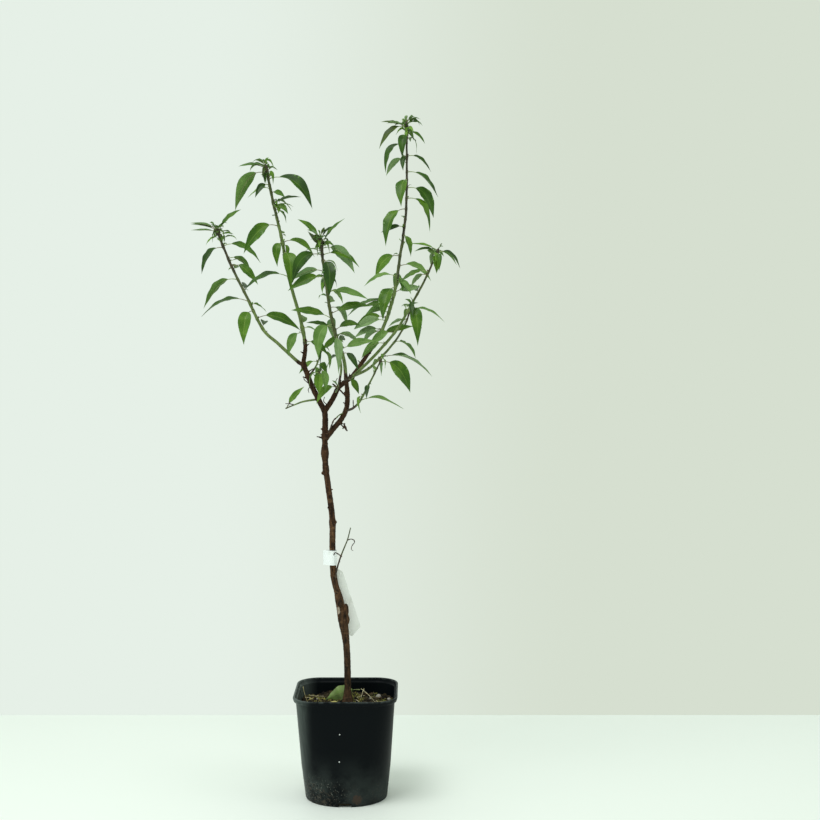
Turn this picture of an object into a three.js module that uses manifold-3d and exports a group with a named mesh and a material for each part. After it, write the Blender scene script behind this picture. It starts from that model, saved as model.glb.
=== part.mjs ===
// Potted dwarf almond tree: a young grafted tree with a bent stem, a small open crown of leafy
// shoots and a nursery pot whose mouth is a rounded square and whose foot is nearly round.
// Millimetres, +Z up. The origin is the middle of the pot's flat underside. +X is to the right and
// +Y to the back as one looks at the front of the tree.

import * as THREE from 'three';
import * as BufferGeometryUtils from 'three/addons/utils/BufferGeometryUtils.js';
import Module from 'manifold-3d';

const wasm = await Module();
wasm.setup();

// Sizes of the whole
const gap = 0.3;
const potHeight = 175;
const rimHalf = 84;
const footHalf = 65;
const bodyFootHalf = 66.6;
const bodyTopHalf = 79.5;
const bodyTopHeight = 167;
const waistHalf = 72.5;
const waistHeight = 57;
const potSides = 32;
const wall = 1.6;
const floorHeight = 2;
const slotWidth = 21;
const slotHeight = 6;
const slotDepth = 16;
const soilLevel = 152;
const soilClearance = 1.1;
const forkHeight = 589;

// Corner radius of the pot's outline as a share of half its width: 1 is a circle
const cornerAtFoot = 0.93;
const cornerAtRim = 0.44;

// Leaf proportions
const petioleShare = 0.24;
const handleShare = 0.36;
const slack = 1.17;
const slimness = 0.1;
const broadness = 0.112;
const leafThickness = 0.9;
const petioleRadius = 0.8;
const leafClearance = 6;
const broadRoll = [50, 75];
const slimRoll = [20, 55];
const foldDepth = [0.15, 0.5];

// How far a leaf may stray from its notation, either way
const stray = { bearing: 8, length: 0.05, start: 5, end: 6, twist: 35, halfWidth: 0.012 };

// The small leaves round a tip, from the lowest to the highest: where on the stem, how long, and
// the angles they leave and end at
const tuftLeaves = { place: [0.955, 0.995], length: [34, 18], start: [45, 80], end: [-75, 35], turn: 137.5 };

const compass = { e: 0, ne: 45, n: 90, nw: 135, w: 180, sw: 225, ssw: 248, s: 270, sse: 292, se: 315 };

// How a leaf is carried: the angle it leaves the stem at, above level, and the angle of its tip
const carriage = {
  '\'': { start: 65, end: 38 },
  '-': { start: 35, end: -2 },
  '': { start: 28, end: -38 },
  ';': { start: 20, end: -62 },
  '.': { start: 14, end: -75 },
  ',': { start: 8, end: -88 },
};

// Limbs: the line of each one's middle, its radius at both ends, and what it grows on
const limbs = {
  trunk: {
    line: [[2, 0, soilLevel + gap], [2, 0, 200], [0, 2, 250], [-7, 3, 298], [-13, 3, 330], [-20, 2, 360],
      [-22, 0, 405], [-22, -1, 455], [-28, -2, 505], [-33, -1, 545], [-34, 0, forkHeight]],
    radii: [5.6, 4.6],
    sides: 10,
    step: 17,
    on: [],
  },
  leader: {
    line: [[-34, 0, forkHeight], [-33, 0, 610], [-34, 0, 634]],
    radii: [5, 4.6],
    sides: 10,
    step: 12,
    on: ['trunk'],
  },
  left_bough: {
    line: [[-34, 0, 630], [-42, 0, 646], [-53, 0, 668], [-61, 0, 688], [-68, 0, 706]],
    radii: [4.6, 4],
    sides: 8,
    step: 12,
    on: ['leader'],
  },
  mid_bough: {
    line: [[-34, 0, 630], [-21, 5, 650], [-12, 10, 668], [0, 15, 678], [12, 20, 688]],
    radii: [4.4, 3.8],
    sides: 8,
    step: 12,
    on: ['leader', 'left_bough'],
  },
  right_bough: {
    line: [[-34, 0, 584], [-20, -5, 602], [-6, -12, 619], [2, -19, 636], [4, -26, 652], [4, -32, 666]],
    radii: [4.6, 3.8],
    sides: 8,
    step: 12,
    on: ['trunk', 'leader'],
  },
};

// Shoots: each stem, what it grows on, and its leaves from the foot up. A leaf is written as its
// place in hundredths of the stem, the way it points from above (s is to the front, a capital is a
// broad leaf), its length in centimetres from foot to tip, a mark for its carriage and, where that
// isn't left to chance, its roll in tens of degrees: after a slash with its upper side to the front,
// after a bar with its underside. tuft is the number of small leaves round the tip.
const shoots = {
  left_tall_shoot: {
    line: [[-68, 0, 706], [-64, -14, 738], [-71, -25, 780], [-88, -35, 846], [-97, -43, 899],
      [-109, -52, 955], [-122, -62, 1020]],
    radii: [3.1, 1.9],
    on: ['left_bough'],
    leaves: '17W5, 12E5; 20n6- 45w8/2 50n6- 57SSE8,/2 62SSW5,/2 61SE3,/3 62e6/5 65n5- 70W8;/7 74n4- '
      + '79se4/3  81e4- 82ne4 86se4/2 88nw5/4 90sw4;/4 96W9.|4 93e9;/2 98w4-/2 19se5',
    tuft: 6,
  },
  far_left_shoot: {
    line: [[-68, 0, 706], [-78, 4, 711], [-108, 13, 738], [-135, 20, 763], [-162, 33, 815],
      [-190, 43, 870], [-214, 50, 929]],
    radii: [2.9, 1.8],
    on: ['left_bough', 'left_tall_shoot'],
    leaves: '33n5- 40e8/6 45SSW7,/2 49se4|5 51w9/2 58n5- 66w9.|4 72n4- 75E6;/6 78e3-/1 80ne5 87w7./3  '
      + '89w2\' 88e7/5 96e3-/2 97e5\'/3 98w4-/2 93w3/3 92e3-/2',
    tuft: 7,
  },
  middle_shoot: {
    line: [[4, -32, 666], [2, -44, 690], [0, -57, 715], [-10, -73, 748], [-19, -87, 787],
      [-28, -100, 850], [-33, -110, 905]],
    radii: [3.1, 1.7],
    on: ['right_bough'],
    leaves: '08E4, 26se5;/3 29E5-/7 33n5- 38s8,/1 42ne5- 46SW7,/4 43w4-/3 50w6-/4 53E6-/7 58n5- 66e6/4  '
      + '75W6/7 79w5|6 85e3/2 86SSE8,/1 89W7;/7 91w3-/1 89e6/5 92nw4\'/3 93E7;|7 94e3-/3 95e5\'/2 97w5\'/3',
    tuft: 7,
  },
  right_tall_shoot: {
    line: [[12, 20, 688], [27, 25, 710], [57, 35, 758], [78, 44, 820], [88, 52, 884],
      [97, 60, 950], [99, 68, 1030], [98, 74, 1103]],
    radii: [3.1, 1.5],
    on: ['mid_bough'],
    leaves: '09W5;/6 18E5-/5 20W5/5 25W6/6 27nw7/4 31w8/2 29W4-|6 34W5,|7 35E4-/7 37SSW8,/1 '
      + '39se4;/4 41w6/2 42n6; 45e6/3 49W6;/7 53n5-  '
      + '57SSE5,/1 60W4/6 63n5- 71e8./4 67sw9,/3 75E8./5 78SSW7,/1 81e7./3 86w5;|5 87SSW4,/1 87e5;/4  '
      + '92w7,/3 96e4;/3 94e3;/3 95SSW6,/1 98w6;/4 98w4-/2 99e3-/2 41SE3,/3 99ne3\'',
    tuft: 8,
  },
  right_long_shoot: {
    line: [[4, 17, 680], [20, 10, 694], [53, 0, 727], [82, -10, 761], [104, -19, 798],
      [128, -30, 842], [149, -38, 890]],
    radii: [2.7, 1.4],
    on: ['mid_bough', 'right_tall_shoot'],
    leaves: '33w5; 44n5- 58e6/2 60SSE8,/1 57nw2\' 64s4; 70n5- 83W4;|6 85w5/3 92n4- 97SSE4,/1 98e5;/3  '
      + '99w4-/3 42W5;/6',
    tuft: 5,
  },
  second_right_shoot: {
    line: [[8, 19, 685], [33, 39, 696], [52, 55, 712], [79, 80, 742], [96, 96, 770], [106, 106, 800]],
    radii: [2.5, 1.3],
    on: ['mid_bough', 'right_tall_shoot', 'right_long_shoot'],
    leaves: '35n5; 38e9/2 60ne6; 76n5- 86nw5 93ne5;',
    tuft: 5,
  },
  lower_right_shoot: {
    line: [[1, -18, 632], [14, -34, 638], [26, -50, 652], [43, -70, 684], [60, -88, 718]],
    radii: [2.1, 1.1],
    on: ['right_bough'],
    leaves: '33e7/3 42sw3,/2 58s4;/1 78n4- 95E8./7',
    tuft: 3,
  },
  thin_back_shoot: {
    line: [[-12, 10, 668], [-9, 40, 704], [-20, 66, 742], [-28, 84, 792], [-38, 96, 850]],
    radii: [2.1, 1.1],
    on: ['mid_bough'],
    leaves: '30nw5; 42n6; 50e5 58w5; 66n6, 74ne6; 82nw3- 88e4; 94n5',
    tuft: 6,
  },
  inner_left_sprig: {
    line: [[-60, 0, 686], [-48, 18, 704], [-40, 30, 730]],
    radii: [1.8, 0.9],
    on: ['left_bough', 'left_tall_shoot'],
    leaves: '60w4; 88E4\' 95e4,',
    tuft: 2,
  },
  inner_front_sprig: {
    line: [[-53, 0, 668], [-46, -14, 682], [-38, -26, 700]],
    radii: [1.8, 0.9],
    on: ['left_bough'],
    leaves: '80w3;/3 95SSE5,/1',
    tuft: 2,
  },
  inner_low_sprig: {
    line: [[-14, 9, 666], [-15, -14, 662], [-10, -30, 671]],
    radii: [1.7, 0.9],
    on: ['mid_bough'],
    leaves: '95W5;/7',
    tuft: 2,
  },
  left_bare_twig: {
    line: [[-44, 0, 650], [-68, 3, 646], [-84, 10, 640], [-98, 14, 634]],
    radii: [1.9, 0.9],
    on: ['left_bough'],
    leaves: '97E4\'',
    tuft: 0,
  },
  trunk_twig: {
    line: [[-19, 1, 352], [-15, -5, 372], [-8, -10, 396], [3, -14, 423], [8, -16, 443]],
    radii: [1.6, 0.8],
    on: ['trunk'],
    leaves: '',
    tuft: 0,
  },
};

// Colours
const black = new THREE.MeshStandardMaterial({ color: 0x23282b, roughness: 0.6, metalness: 0 });
const earth = new THREE.MeshStandardMaterial({ color: 0x3a2e20, roughness: 1, metalness: 0 });
const bark = new THREE.MeshStandardMaterial({ color: 0x4a2c20, roughness: 0.85, metalness: 0 });
const leafGreen = new THREE.MeshStandardMaterial({ color: 0x4c7d3c, roughness: 0.6, metalness: 0 });
const white = new THREE.MeshStandardMaterial({ color: 0xeeeeea, roughness: 0.7, metalness: 0 });

const tree = new THREE.Group();

function addPart(name, geometry, material) {
  const mesh = new THREE.Mesh(geometry, material.clone());
  mesh.name = name;
  tree.add(mesh);
}

// Numbers from 0 to 1 that are the same on every run
function seeded(seed) {
  let state = seed * 7919 + 17;
  return () => {
    state = (state * 16807) % 2147483647;
    return state / 2147483647;
  };
}

function lerp(a, b, share) {
  return a + (b - a) * share;
}

// Moves every vertex of a geometry to where place(vertex) says
function reshape(geometry, place) {
  const position = geometry.attributes.position;
  const vertex = new THREE.Vector3();
  for (let i = 0; i < position.count; i += 1) {
    const moved = place(vertex.fromBufferAttribute(position, i));
    position.setXYZ(i, moved.x, moved.y, moved.z);
  }
  return geometry;
}

function solidOf(geometry) {
  const bare = geometry.clone();
  bare.deleteAttribute('normal');
  bare.deleteAttribute('uv');
  const merged = BufferGeometryUtils.mergeVertices(bare, 1e-4);
  const corners = merged.index.array;
  const triangles = [];
  for (let i = 0; i < corners.length; i += 3) {
    const [a, b, c] = [corners[i], corners[i + 1], corners[i + 2]];
    if (a !== b && b !== c && c !== a) {
      triangles.push(a, b, c);
    }
  }
  return new wasm.Manifold(new wasm.Mesh({
    numProp: 3,
    vertProperties: new Float32Array(merged.attributes.position.array),
    triVerts: new Uint32Array(triangles),
  }));
}

function geometryOf(solid) {
  const mesh = solid.getMesh();
  const geometry = new THREE.BufferGeometry();
  geometry.setAttribute('position', new THREE.BufferAttribute(mesh.vertProperties, 3));
  geometry.setIndex(new THREE.BufferAttribute(mesh.triVerts, 1));
  return geometry;
}

function largestBody(solid) {
  const bodies = solid.decompose();
  return bodies.reduce((best, body) => (body.volume() > best.volume() ? body : best));
}

// Pot: a turned profile whose circles are pressed towards rounded squares

// Distance from the axis to a rounded square of half width 1, at an angle
function squareReach(angle, corner) {
  const turned = Math.abs(((angle / (Math.PI / 2)) % 1 + 1) % 1 - 0.5);
  const fromSide = (0.5 - turned) * (Math.PI / 2);
  const straight = 1 - corner;
  if (Math.tan(fromSide) <= straight) {
    return 1 / Math.cos(fromSide);
  }
  const along = straight * (Math.cos(fromSide) + Math.sin(fromSide));
  return along + Math.sqrt(along * along - 2 * straight * straight + corner * corner);
}

function squareTurned(profile) {
  const points = profile.map(([half, height]) => new THREE.Vector2(half, height));
  const turned = new THREE.LatheGeometry(points, potSides);
  turned.rotateX(Math.PI / 2);
  return reshape(turned, (v) => {
    const corner = lerp(cornerAtFoot, cornerAtRim, v.z / potHeight);
    const reach = squareReach(Math.atan2(v.y, v.x), corner);
    return v.set(v.x * reach, v.y * reach, v.z);
  });
}

// Half width of the body's outside at a height, and the heights of its rings
const bodyHeights = [12, 32, waistHeight, 86, 117, soilLevel - 4];

function bodyHalf(height) {
  return height < waistHeight
    ? lerp(bodyFootHalf, waistHalf, height / waistHeight)
    : lerp(waistHalf, bodyTopHalf, (height - waistHeight) / (bodyTopHeight - waistHeight));
}

function makePot() {
  const foot = [[0, 0], [footHalf, 0], [footHalf + 1.5, 1.4]];
  const side = bodyHeights.map((height) => [bodyHalf(height), height]);
  const collar = [[bodyTopHalf, bodyTopHeight], [rimHalf - 1.6, bodyTopHeight + 0.6], [rimHalf - 0.6, 171]];
  const lip = [[rimHalf, 173.4], [rimHalf - 0.9, potHeight], [rimHalf - 2.4, potHeight]];
  const throat = [
    [rimHalf - 3.4, 173],
    [rimHalf - 4, bodyTopHeight + 2.5],
    [bodyTopHalf - wall, bodyTopHeight + 0.5],
  ];
  const inside = side.map(([half, height]) => [half - wall, height]).reverse();
  const floor = [[footHalf + 0.4, 4], [footHalf - 3, floorHeight], [0, floorHeight]];
  const profile = [...foot, ...side, ...collar, ...lip, ...throat, ...inside, ...floor];
  let shell = solidOf(squareTurned(profile));
  for (let quarter = 0; quarter < 4; quarter += 1) {
    const slot = new THREE.BoxGeometry(slotDepth, slotWidth, slotHeight * 2);
    slot.translate(footHalf, 0, 0);
    slot.rotateZ(quarter * Math.PI / 2);
    shell = shell.subtract(solidOf(slot));
  }
  addPart('pot', geometryOf(shell), black);
}

function makeSoil() {
  const random = seeded(3);
  const foot = [[0, floorHeight + gap], [footHalf - 3.5, floorHeight + gap], [footHalf - 0.2, 4.4]];
  const side = bodyHeights.map((height) => [bodyHalf(height) - wall - soilClearance, height]);
  const surface = [70, 58, 44, 30, 16, 0].map((reach) => [reach, soilLevel - reach / 35]);
  const flatReach = 22;
  const bumps = 3.4;
  const filling = geometryOf(solidOf(squareTurned([...foot, ...side, ...surface])));
  addPart('soil', reshape(filling, (v) => {
    const reach = Math.hypot(v.x, v.y);
    const isLumpy = v.z > soilLevel - 2.5 && reach > flatReach;
    return isLumpy ? v.setZ(v.z + (random() - 0.5) * bumps) : v;
  }), earth);
}

// Limbs

function curveOf(line) {
  const points = line.map(([x, y, z]) => new THREE.Vector3(x, y, z));
  return new THREE.CatmullRomCurve3(points, false, 'catmullrom', 0.5);
}

// A tube of changing radius along a curve
function taperedTube(curve, radiusAt, sides, steps) {
  const frames = curve.computeFrenetFrames(steps, false);
  const tube = new THREE.CylinderGeometry(1, 1, 1, sides, steps);
  return reshape(tube, (v) => {
    const share = 0.5 - v.y;
    const row = Math.round(share * steps);
    const radius = radiusAt(share);
    const middle = curve.getPointAt(THREE.MathUtils.clamp(share, 0, 1));
    return middle
      .addScaledVector(frames.normals[row], v.x * radius)
      .addScaledVector(frames.binormals[row], v.z * radius);
  });
}

// The stem swells at the soil, at the graft union, at two old knots and thins below the fork
const swellings = [
  { height: soilLevel, by: 4, span: 13 },
  { height: 290, by: 2.6, span: 26 },
  { height: 322, by: 1.2, span: 10 },
  { height: 450, by: 0.9, span: 6 },
  { height: 537, by: 0.9, span: 5 },
  { height: 563, by: 2, span: 9 },
];

function trunkRadius(share) {
  const { radii } = limbs.trunk;
  const height = lerp(soilLevel, forkHeight, share);
  const swollen = swellings.reduce(
    (sum, s) => sum + s.by * Math.exp(-(((height - s.height) / s.span) ** 2)),
    0,
  );
  return lerp(radii[0], radii[1], share) + swollen;
}

// A limb as a solid, and the same a little fatter and longer, to cut its neighbours clear
function makeLimb(name, limb) {
  const curve = curveOf(limb.line);
  const length = curve.getLength();
  const steps = Math.max(4, Math.round(length / limb.step));
  const radiusAt = name === 'trunk' ? trunkRadius : (share) => lerp(...limb.radii, share);
  const sleeve = (share) => radiusAt(share) + gap;
  const ends = curveOf([
    curve.getPointAt(0).addScaledVector(curve.getTangentAt(0), -gap).toArray(),
    ...limb.line.slice(1, -1),
    curve.getPointAt(1).addScaledVector(curve.getTangentAt(1), gap).toArray(),
  ]);
  return {
    curve,
    radiusAt,
    solid: solidOf(taperedTube(curve, radiusAt, limb.sides, steps)),
    cutter: solidOf(taperedTube(ends, sleeve, limb.sides, steps)),
  };
}

// Leaves

// Rings of a leaf, each four-cornered: share of the length and of the half width. A small leaf has
// one fewer.
const leafRings = [[0, 0], [0.07, 0], [petioleShare, 0], [0.39, 0.72], [0.55, 1], [0.79, 0.62], [1, 0]];
const smallLeafRings = [[0, 0], [0.1, 0], [petioleShare, 0], [0.53, 1], [0.8, 0.62], [1, 0]];
const smallLeaf = 42;

function ringsOf(leaf) {
  return leaf.length < smallLeaf ? smallLeafRings : leafRings;
}

// Middle line and directions of a leaf: it leaves at one angle, bends past its stalk and ends at
// the other, as a curve with one handle
function leafFrame(leaf, share) {
  const bearing = THREE.MathUtils.degToRad(leaf.bearing);
  const level = new THREE.Vector3(Math.cos(bearing), Math.sin(bearing), 0);
  const reach = (angle, length) => {
    const rise = THREE.MathUtils.degToRad(angle);
    return level.clone().multiplyScalar(Math.cos(rise) * length).setZ(Math.sin(rise) * length);
  };
  const handle = reach(leaf.start, leaf.length * handleShare);
  const rest = reach(leaf.end, leaf.length * (1 - handleShare));
  const ahead = handle.clone().multiplyScalar(1 - share).addScaledVector(rest, share).normalize();
  const side = new THREE.Vector3(-Math.sin(bearing), Math.cos(bearing), 0);
  side.applyAxisAngle(ahead, THREE.MathUtils.degToRad(leaf.roll + leaf.twist * share));
  return {
    middle: leaf.root.clone()
      .addScaledVector(handle, share * (2 - share))
      .addScaledVector(rest, share * share),
    side,
    face: new THREE.Vector3().crossVectors(ahead, side),
  };
}

// A leaf as a closed skin of four-cornered rings. The corners are its right edge, upper side, left
// edge and underside, and the quads of both sides are split alike, so that its walls never cross.
function leafGeometry(leaf) {
  const rings = ringsOf(leaf);
  const last = rings.length - 1;
  const points = [leafFrame(leaf, 0).middle];
  for (const [share, breadth] of rings.slice(1, last)) {
    const { middle, side, face } = leafFrame(leaf, share);
    const half = Math.max(breadth * leaf.halfWidth, petioleRadius);
    const thick = breadth > 0 ? leafThickness / 2 : petioleRadius;
    const lift = breadth > 0 ? leaf.fold * half : 0;
    for (const [across, through] of [[1, 0], [0, 1], [-1, 0], [0, -1]]) {
      const rise = through * thick + Math.abs(across) * lift;
      points.push(middle.clone().addScaledVector(side, across * half).addScaledVector(face, rise));
    }
  }
  points.push(leafFrame(leaf, 1).middle);
  const at = (row, corner) => 4 * row - 3 + corner % 4;
  const faces = [];
  for (let corner = 0; corner < 4; corner += 1) {
    faces.push(0, at(1, corner + 1), at(1, corner));
    for (let row = 1; row < last - 1; row += 1) {
      const [a, b] = [at(row, corner), at(row, corner + 1)];
      const [c, d] = [at(row + 1, corner + 1), at(row + 1, corner)];
      faces.push(...(corner % 2 ? [a, b, d, b, c, d] : [a, b, c, a, c, d]));
    }
    faces.push(points.length - 1, at(last - 1, corner), at(last - 1, corner + 1));
  }
  return new THREE.BufferGeometry().setFromPoints(points).setIndex(faces);
}

// The rule that turns a shoot's notation into leaves
function leavesOf(shoot, curve, random) {
  const around = (spread) => (random() - 0.5) * 2 * spread;
  const grow = (share, bearing, length, held, isBroad, roll) => {
    const facing = Math.cos(THREE.MathUtils.degToRad(bearing)) < 0 ? -1 : 1;
    const chance = isBroad
      ? facing * lerp(...broadRoll, random())
      : Math.sign(around(1)) * lerp(...slimRoll, random());
    const leaf = {
      root: curve.getPointAt(share),
      bearing: bearing + around(stray.bearing),
      length: length * (1 + around(stray.length)),
      start: held.start + around(stray.start),
      end: held.end + around(stray.end),
      roll: roll === undefined ? chance : facing * roll,
      twist: around(stray.twist),
      fold: lerp(...foldDepth, random()),
    };
    leaf.halfWidth = leaf.length * ((isBroad ? broadness : slimness) + around(stray.halfWidth));
    return leaf;
  };
  const leaves = [];
  const notation = /(\d\d)([nesw]+)(\d)([-;,.']?)(?:([/|])(\d))?/gi;
  for (const [, place, way, size, mark, side, tens] of shoot.leaves.matchAll(notation)) {
    const bearing = compass[way.toLowerCase()];
    const isBroad = way !== way.toLowerCase();
    const length = Number(size) * 10 * slack;
    const roll = side && Number(tens) * (side === '/' ? 10 : -10);
    leaves.push(grow(Number(place) / 100, bearing, length, carriage[mark], isBroad, roll));
  }
  const firstWay = random() * 360;
  for (let i = 0; i < shoot.tuft; i += 1) {
    const rank = i / shoot.tuft;
    const held = { start: lerp(...tuftLeaves.start, rank), end: lerp(...tuftLeaves.end, rank) };
    const place = lerp(...tuftLeaves.place, rank);
    leaves.push(grow(place, firstWay + tuftLeaves.turn * i, lerp(...tuftLeaves.length, rank), held, false));
  }
  return leaves;
}

// Points spread over a leaf, by which it is kept away from its neighbours
function leafPoints(leaf) {
  const points = [];
  for (const [share, breadth] of ringsOf(leaf).slice(2)) {
    const { middle, side } = leafFrame(leaf, share);
    for (const across of breadth > 0 ? [-1, 0, 1] : [0]) {
      points.push(middle.clone().addScaledVector(side, across * breadth * leaf.halfWidth));
    }
  }
  return points;
}

function limbPoints(curve, radiusAt) {
  const count = Math.round(curve.getLength() / 4);
  return Array.from({ length: count + 1 }, (_, i) => ({
    point: curve.getPointAt(i / count),
    reach: radiusAt(i / count),
  }));
}

// Plant label: a strip wound snugly round the stem and stuck to itself, with a blank tag hanging
// from it behind the stem

const bandSize = { middle: [-21.4, 0.8], foot: 380, height: 24, inner: 6.1, thick: 0.8, flap: 9 };
const tagSize = {
  top: [-24, 6.7, 388],
  end: [13.5, 17, 270],
  width: 22,
  neckWidth: 8,
  neck: 16,
  thick: 0.8,
};

function makeLabel() {
  const { middle, foot, height, inner, thick, flap } = bandSize;
  const outer = inner + thick;
  const ring = new THREE.Shape().absarc(0, 0, outer, 0, Math.PI * 2);
  ring.holes.push(new THREE.Path().absarc(0, 0, inner, 0, Math.PI * 2));
  const band = new THREE.ExtrudeGeometry(ring, { depth: height, bevelEnabled: false, curveSegments: 14 });
  const tab = new THREE.BoxGeometry(flap, thick * 2, height);
  tab.translate(-inner - flap / 2, 0, height / 2);
  const loop = solidOf(band).add(solidOf(tab)).translate([middle[0], middle[1], foot]);

  const top = new THREE.Vector3(...tagSize.top);
  const end = new THREE.Vector3(...tagSize.end);
  const length = top.distanceTo(end);
  const half = tagSize.width / 2;
  const neckHalf = tagSize.neckWidth / 2;
  const cut = 2.5;
  const outline = new THREE.Shape([
    [neckHalf, length], [-neckHalf, length],
    [-neckHalf, length - tagSize.neck], [-half, length - tagSize.neck * 1.6],
    [-half, cut], [cut - half, 0], [half - cut, 0], [half, cut],
    [half, length - tagSize.neck * 1.6], [neckHalf, length - tagSize.neck],
  ].map(([x, y]) => new THREE.Vector2(x, y)));
  const tag = new THREE.ExtrudeGeometry(outline, { depth: tagSize.thick, bevelEnabled: false });
  const up = top.clone().sub(end).normalize();
  const back = new THREE.Vector3(0, 1, 0).addScaledVector(up, -up.y).normalize();
  const across = new THREE.Vector3().crossVectors(up, back);
  tag.applyMatrix4(new THREE.Matrix4().makeBasis(across, up, back).setPosition(end));
  addPart('label', geometryOf(loop.add(solidOf(tag))), white);
}

// Whole tree

makePot();
makeSoil();
makeLabel();

const grown = {};
const taken = [];

for (const [name, limb] of Object.entries(limbs)) {
  const made = makeLimb(name, limb);
  let solid = made.solid;
  for (const below of limb.on) {
    solid = solid.subtract(grown[below].cutter);
  }
  grown[name] = made;
  taken.push(...limbPoints(made.curve, made.radiusAt).map((p) => ({ ...p, of: name })));
  addPart(name, geometryOf(largestBody(solid)), bark);
}

for (const [name, shoot] of Object.entries(shoots)) {
  grown[name] = makeLimb(name, { ...shoot, sides: 6, step: 22 });
  const { curve, radiusAt } = grown[name];
  taken.push(...limbPoints(curve, radiusAt).map((p) => ({ ...p, of: name })));
}

Object.entries(shoots).forEach(([name, shoot], order) => {
  let solid = grown[name].solid;
  for (const below of shoot.on) {
    solid = solid.subtract(grown[below].cutter);
  }
  solid = largestBody(solid);
  const own = [];
  for (const leaf of leavesOf(shoot, grown[name].curve, seeded(order + 11))) {
    const points = leafPoints(leaf);
    const isClear = taken.every(({ point, reach, of }) => of === name
      || points.every((p) => p.distanceTo(point) > reach + leafClearance));
    if (isClear) {
      solid = solid.add(solidOf(leafGeometry(leaf)));
      own.push(...points.map((point) => ({ point, reach: 0, of: name })));
    }
  }
  taken.push(...own);
  addPart(name, geometryOf(solid), shoot.leaves ? leafGreen : bark);
});

export default tree;
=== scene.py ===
# Potted dwarf almond tree: pot, soil, bark, blank label and leafy shoots
# Sizes here are millimetres from the middle of the pot's flat underside, +Z up, +Y to the back.
# They become metres where a mesh is made.

import math
import re

import bpy
import numpy as np
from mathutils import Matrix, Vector, noise


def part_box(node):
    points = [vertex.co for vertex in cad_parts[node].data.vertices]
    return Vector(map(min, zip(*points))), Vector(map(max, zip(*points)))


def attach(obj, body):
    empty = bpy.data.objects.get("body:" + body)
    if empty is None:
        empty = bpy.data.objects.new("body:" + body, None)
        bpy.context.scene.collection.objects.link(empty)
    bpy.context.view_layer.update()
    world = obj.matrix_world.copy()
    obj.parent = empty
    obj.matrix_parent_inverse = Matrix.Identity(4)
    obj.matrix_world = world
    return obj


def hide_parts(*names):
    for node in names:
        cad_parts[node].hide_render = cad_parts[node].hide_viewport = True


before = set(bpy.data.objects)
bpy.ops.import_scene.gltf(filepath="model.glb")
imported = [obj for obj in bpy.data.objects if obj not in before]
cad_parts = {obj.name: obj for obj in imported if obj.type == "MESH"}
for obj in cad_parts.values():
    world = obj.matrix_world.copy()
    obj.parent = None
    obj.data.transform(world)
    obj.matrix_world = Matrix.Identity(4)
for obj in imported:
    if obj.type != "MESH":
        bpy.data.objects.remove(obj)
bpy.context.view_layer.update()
mm = 0.001
print("frame loaded with", len(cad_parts), "nodes")


# Small helpers

def lerp(a, b, share):
    return a + (b - a) * share


def seeded(seed):  # numbers from 0 to 1, the same on every run
    state = seed * 7919 + 17

    def draw():
        nonlocal state
        state = state * 16807 % 2147483647
        return state / 2147483647

    return draw


def unit(vectors):
    vectors = np.asarray(vectors, float)
    return vectors / np.maximum(np.linalg.norm(vectors, axis=-1, keepdims=True), 1e-9)


def selectOnly(*pieces):
    for piece in bpy.context.selected_objects:
        piece.select_set(False)
    for piece in pieces:
        piece.select_set(True)
    if pieces:
        bpy.context.view_layer.objects.active = pieces[0]


def applyModifiers(piece):
    selectOnly(piece)
    for modifier in list(piece.modifiers):
        bpy.ops.object.modifier_apply(modifier=modifier.name)


def settle(piece, slotName, *nodes):
    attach(piece, "root")
    if nodes:
        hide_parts(*nodes)


def pointsOf(piece):
    flat = np.empty(len(piece.data.vertices) * 3)
    piece.data.vertices.foreach_get("co", flat)
    return flat.reshape(-1, 3) / mm


def movePoints(piece, points):
    piece.data.vertices.foreach_set("co", (points * mm).ravel())
    piece.data.update()


def metres(values):
    return [value * mm for value in values]


def noiseAt(x, y, z, scale=1):
    return noise.noise(Vector((x, y, z)) * scale)


def joined(name, pieces):
    selectOnly(*pieces)
    bpy.ops.object.join()
    bpy.context.object.name = name
    return bpy.context.object


def smoothed(piece, angle, *paints):
    for paint in paints:
        piece.data.materials.append(paint)
    selectOnly(piece)
    bpy.ops.object.shade_smooth_by_angle(angle=math.radians(angle))


# Materials; a colour is written as seen on screen, red, green and blue from 0 to 255

def tint(red, green, blue):  # made linear
    shares = [value / 255 for value in (red, green, blue)]
    return [s / 12.92 if s <= 0.04045 else ((s + 0.055) / 1.055) ** 2.4 for s in shares] + [1]


def newPaint(name, colour, roughness, **sockets):
    paint = bpy.data.materials.new(name)
    paint.use_nodes = True
    shader = paint.node_tree.nodes["Principled BSDF"]
    shader.inputs["Base Color"].default_value = tint(*colour)
    shader.inputs["Roughness"].default_value = roughness
    for socket, value in sockets.items():
        shader.inputs[socket.replace("_", " ")].default_value = value
    return paint


def wire(paint, socketName, source):
    shader = paint.node_tree.nodes["Principled BSDF"]
    paint.node_tree.links.new(source, shader.inputs[socketName])


def addNode(paint, kind, inputs, output=0, **settings):
    made = paint.node_tree.nodes.new(kind)
    for name, value in settings.items():
        setattr(made, name, value)
    for name, value in inputs.items():
        if isinstance(value, bpy.types.NodeSocket):
            paint.node_tree.links.new(value, made.inputs[name])
        else:
            made.inputs[name].default_value = value
    return made.outputs[output]


def placeOf(paint, source="Object"):
    return addNode(paint, "ShaderNodeTexCoord", {}, source)


def cloudOf(paint, scale, detail=4, stretch=(1, 1, 1), roughness=0.55):
    stretched = addNode(paint, "ShaderNodeMapping", {"Vector": placeOf(paint), "Scale": stretch})
    inputs = {"Vector": stretched, "Scale": scale, "Detail": detail, "Roughness": roughness}
    return addNode(paint, "ShaderNodeTexNoise", inputs, "Fac")


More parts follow.
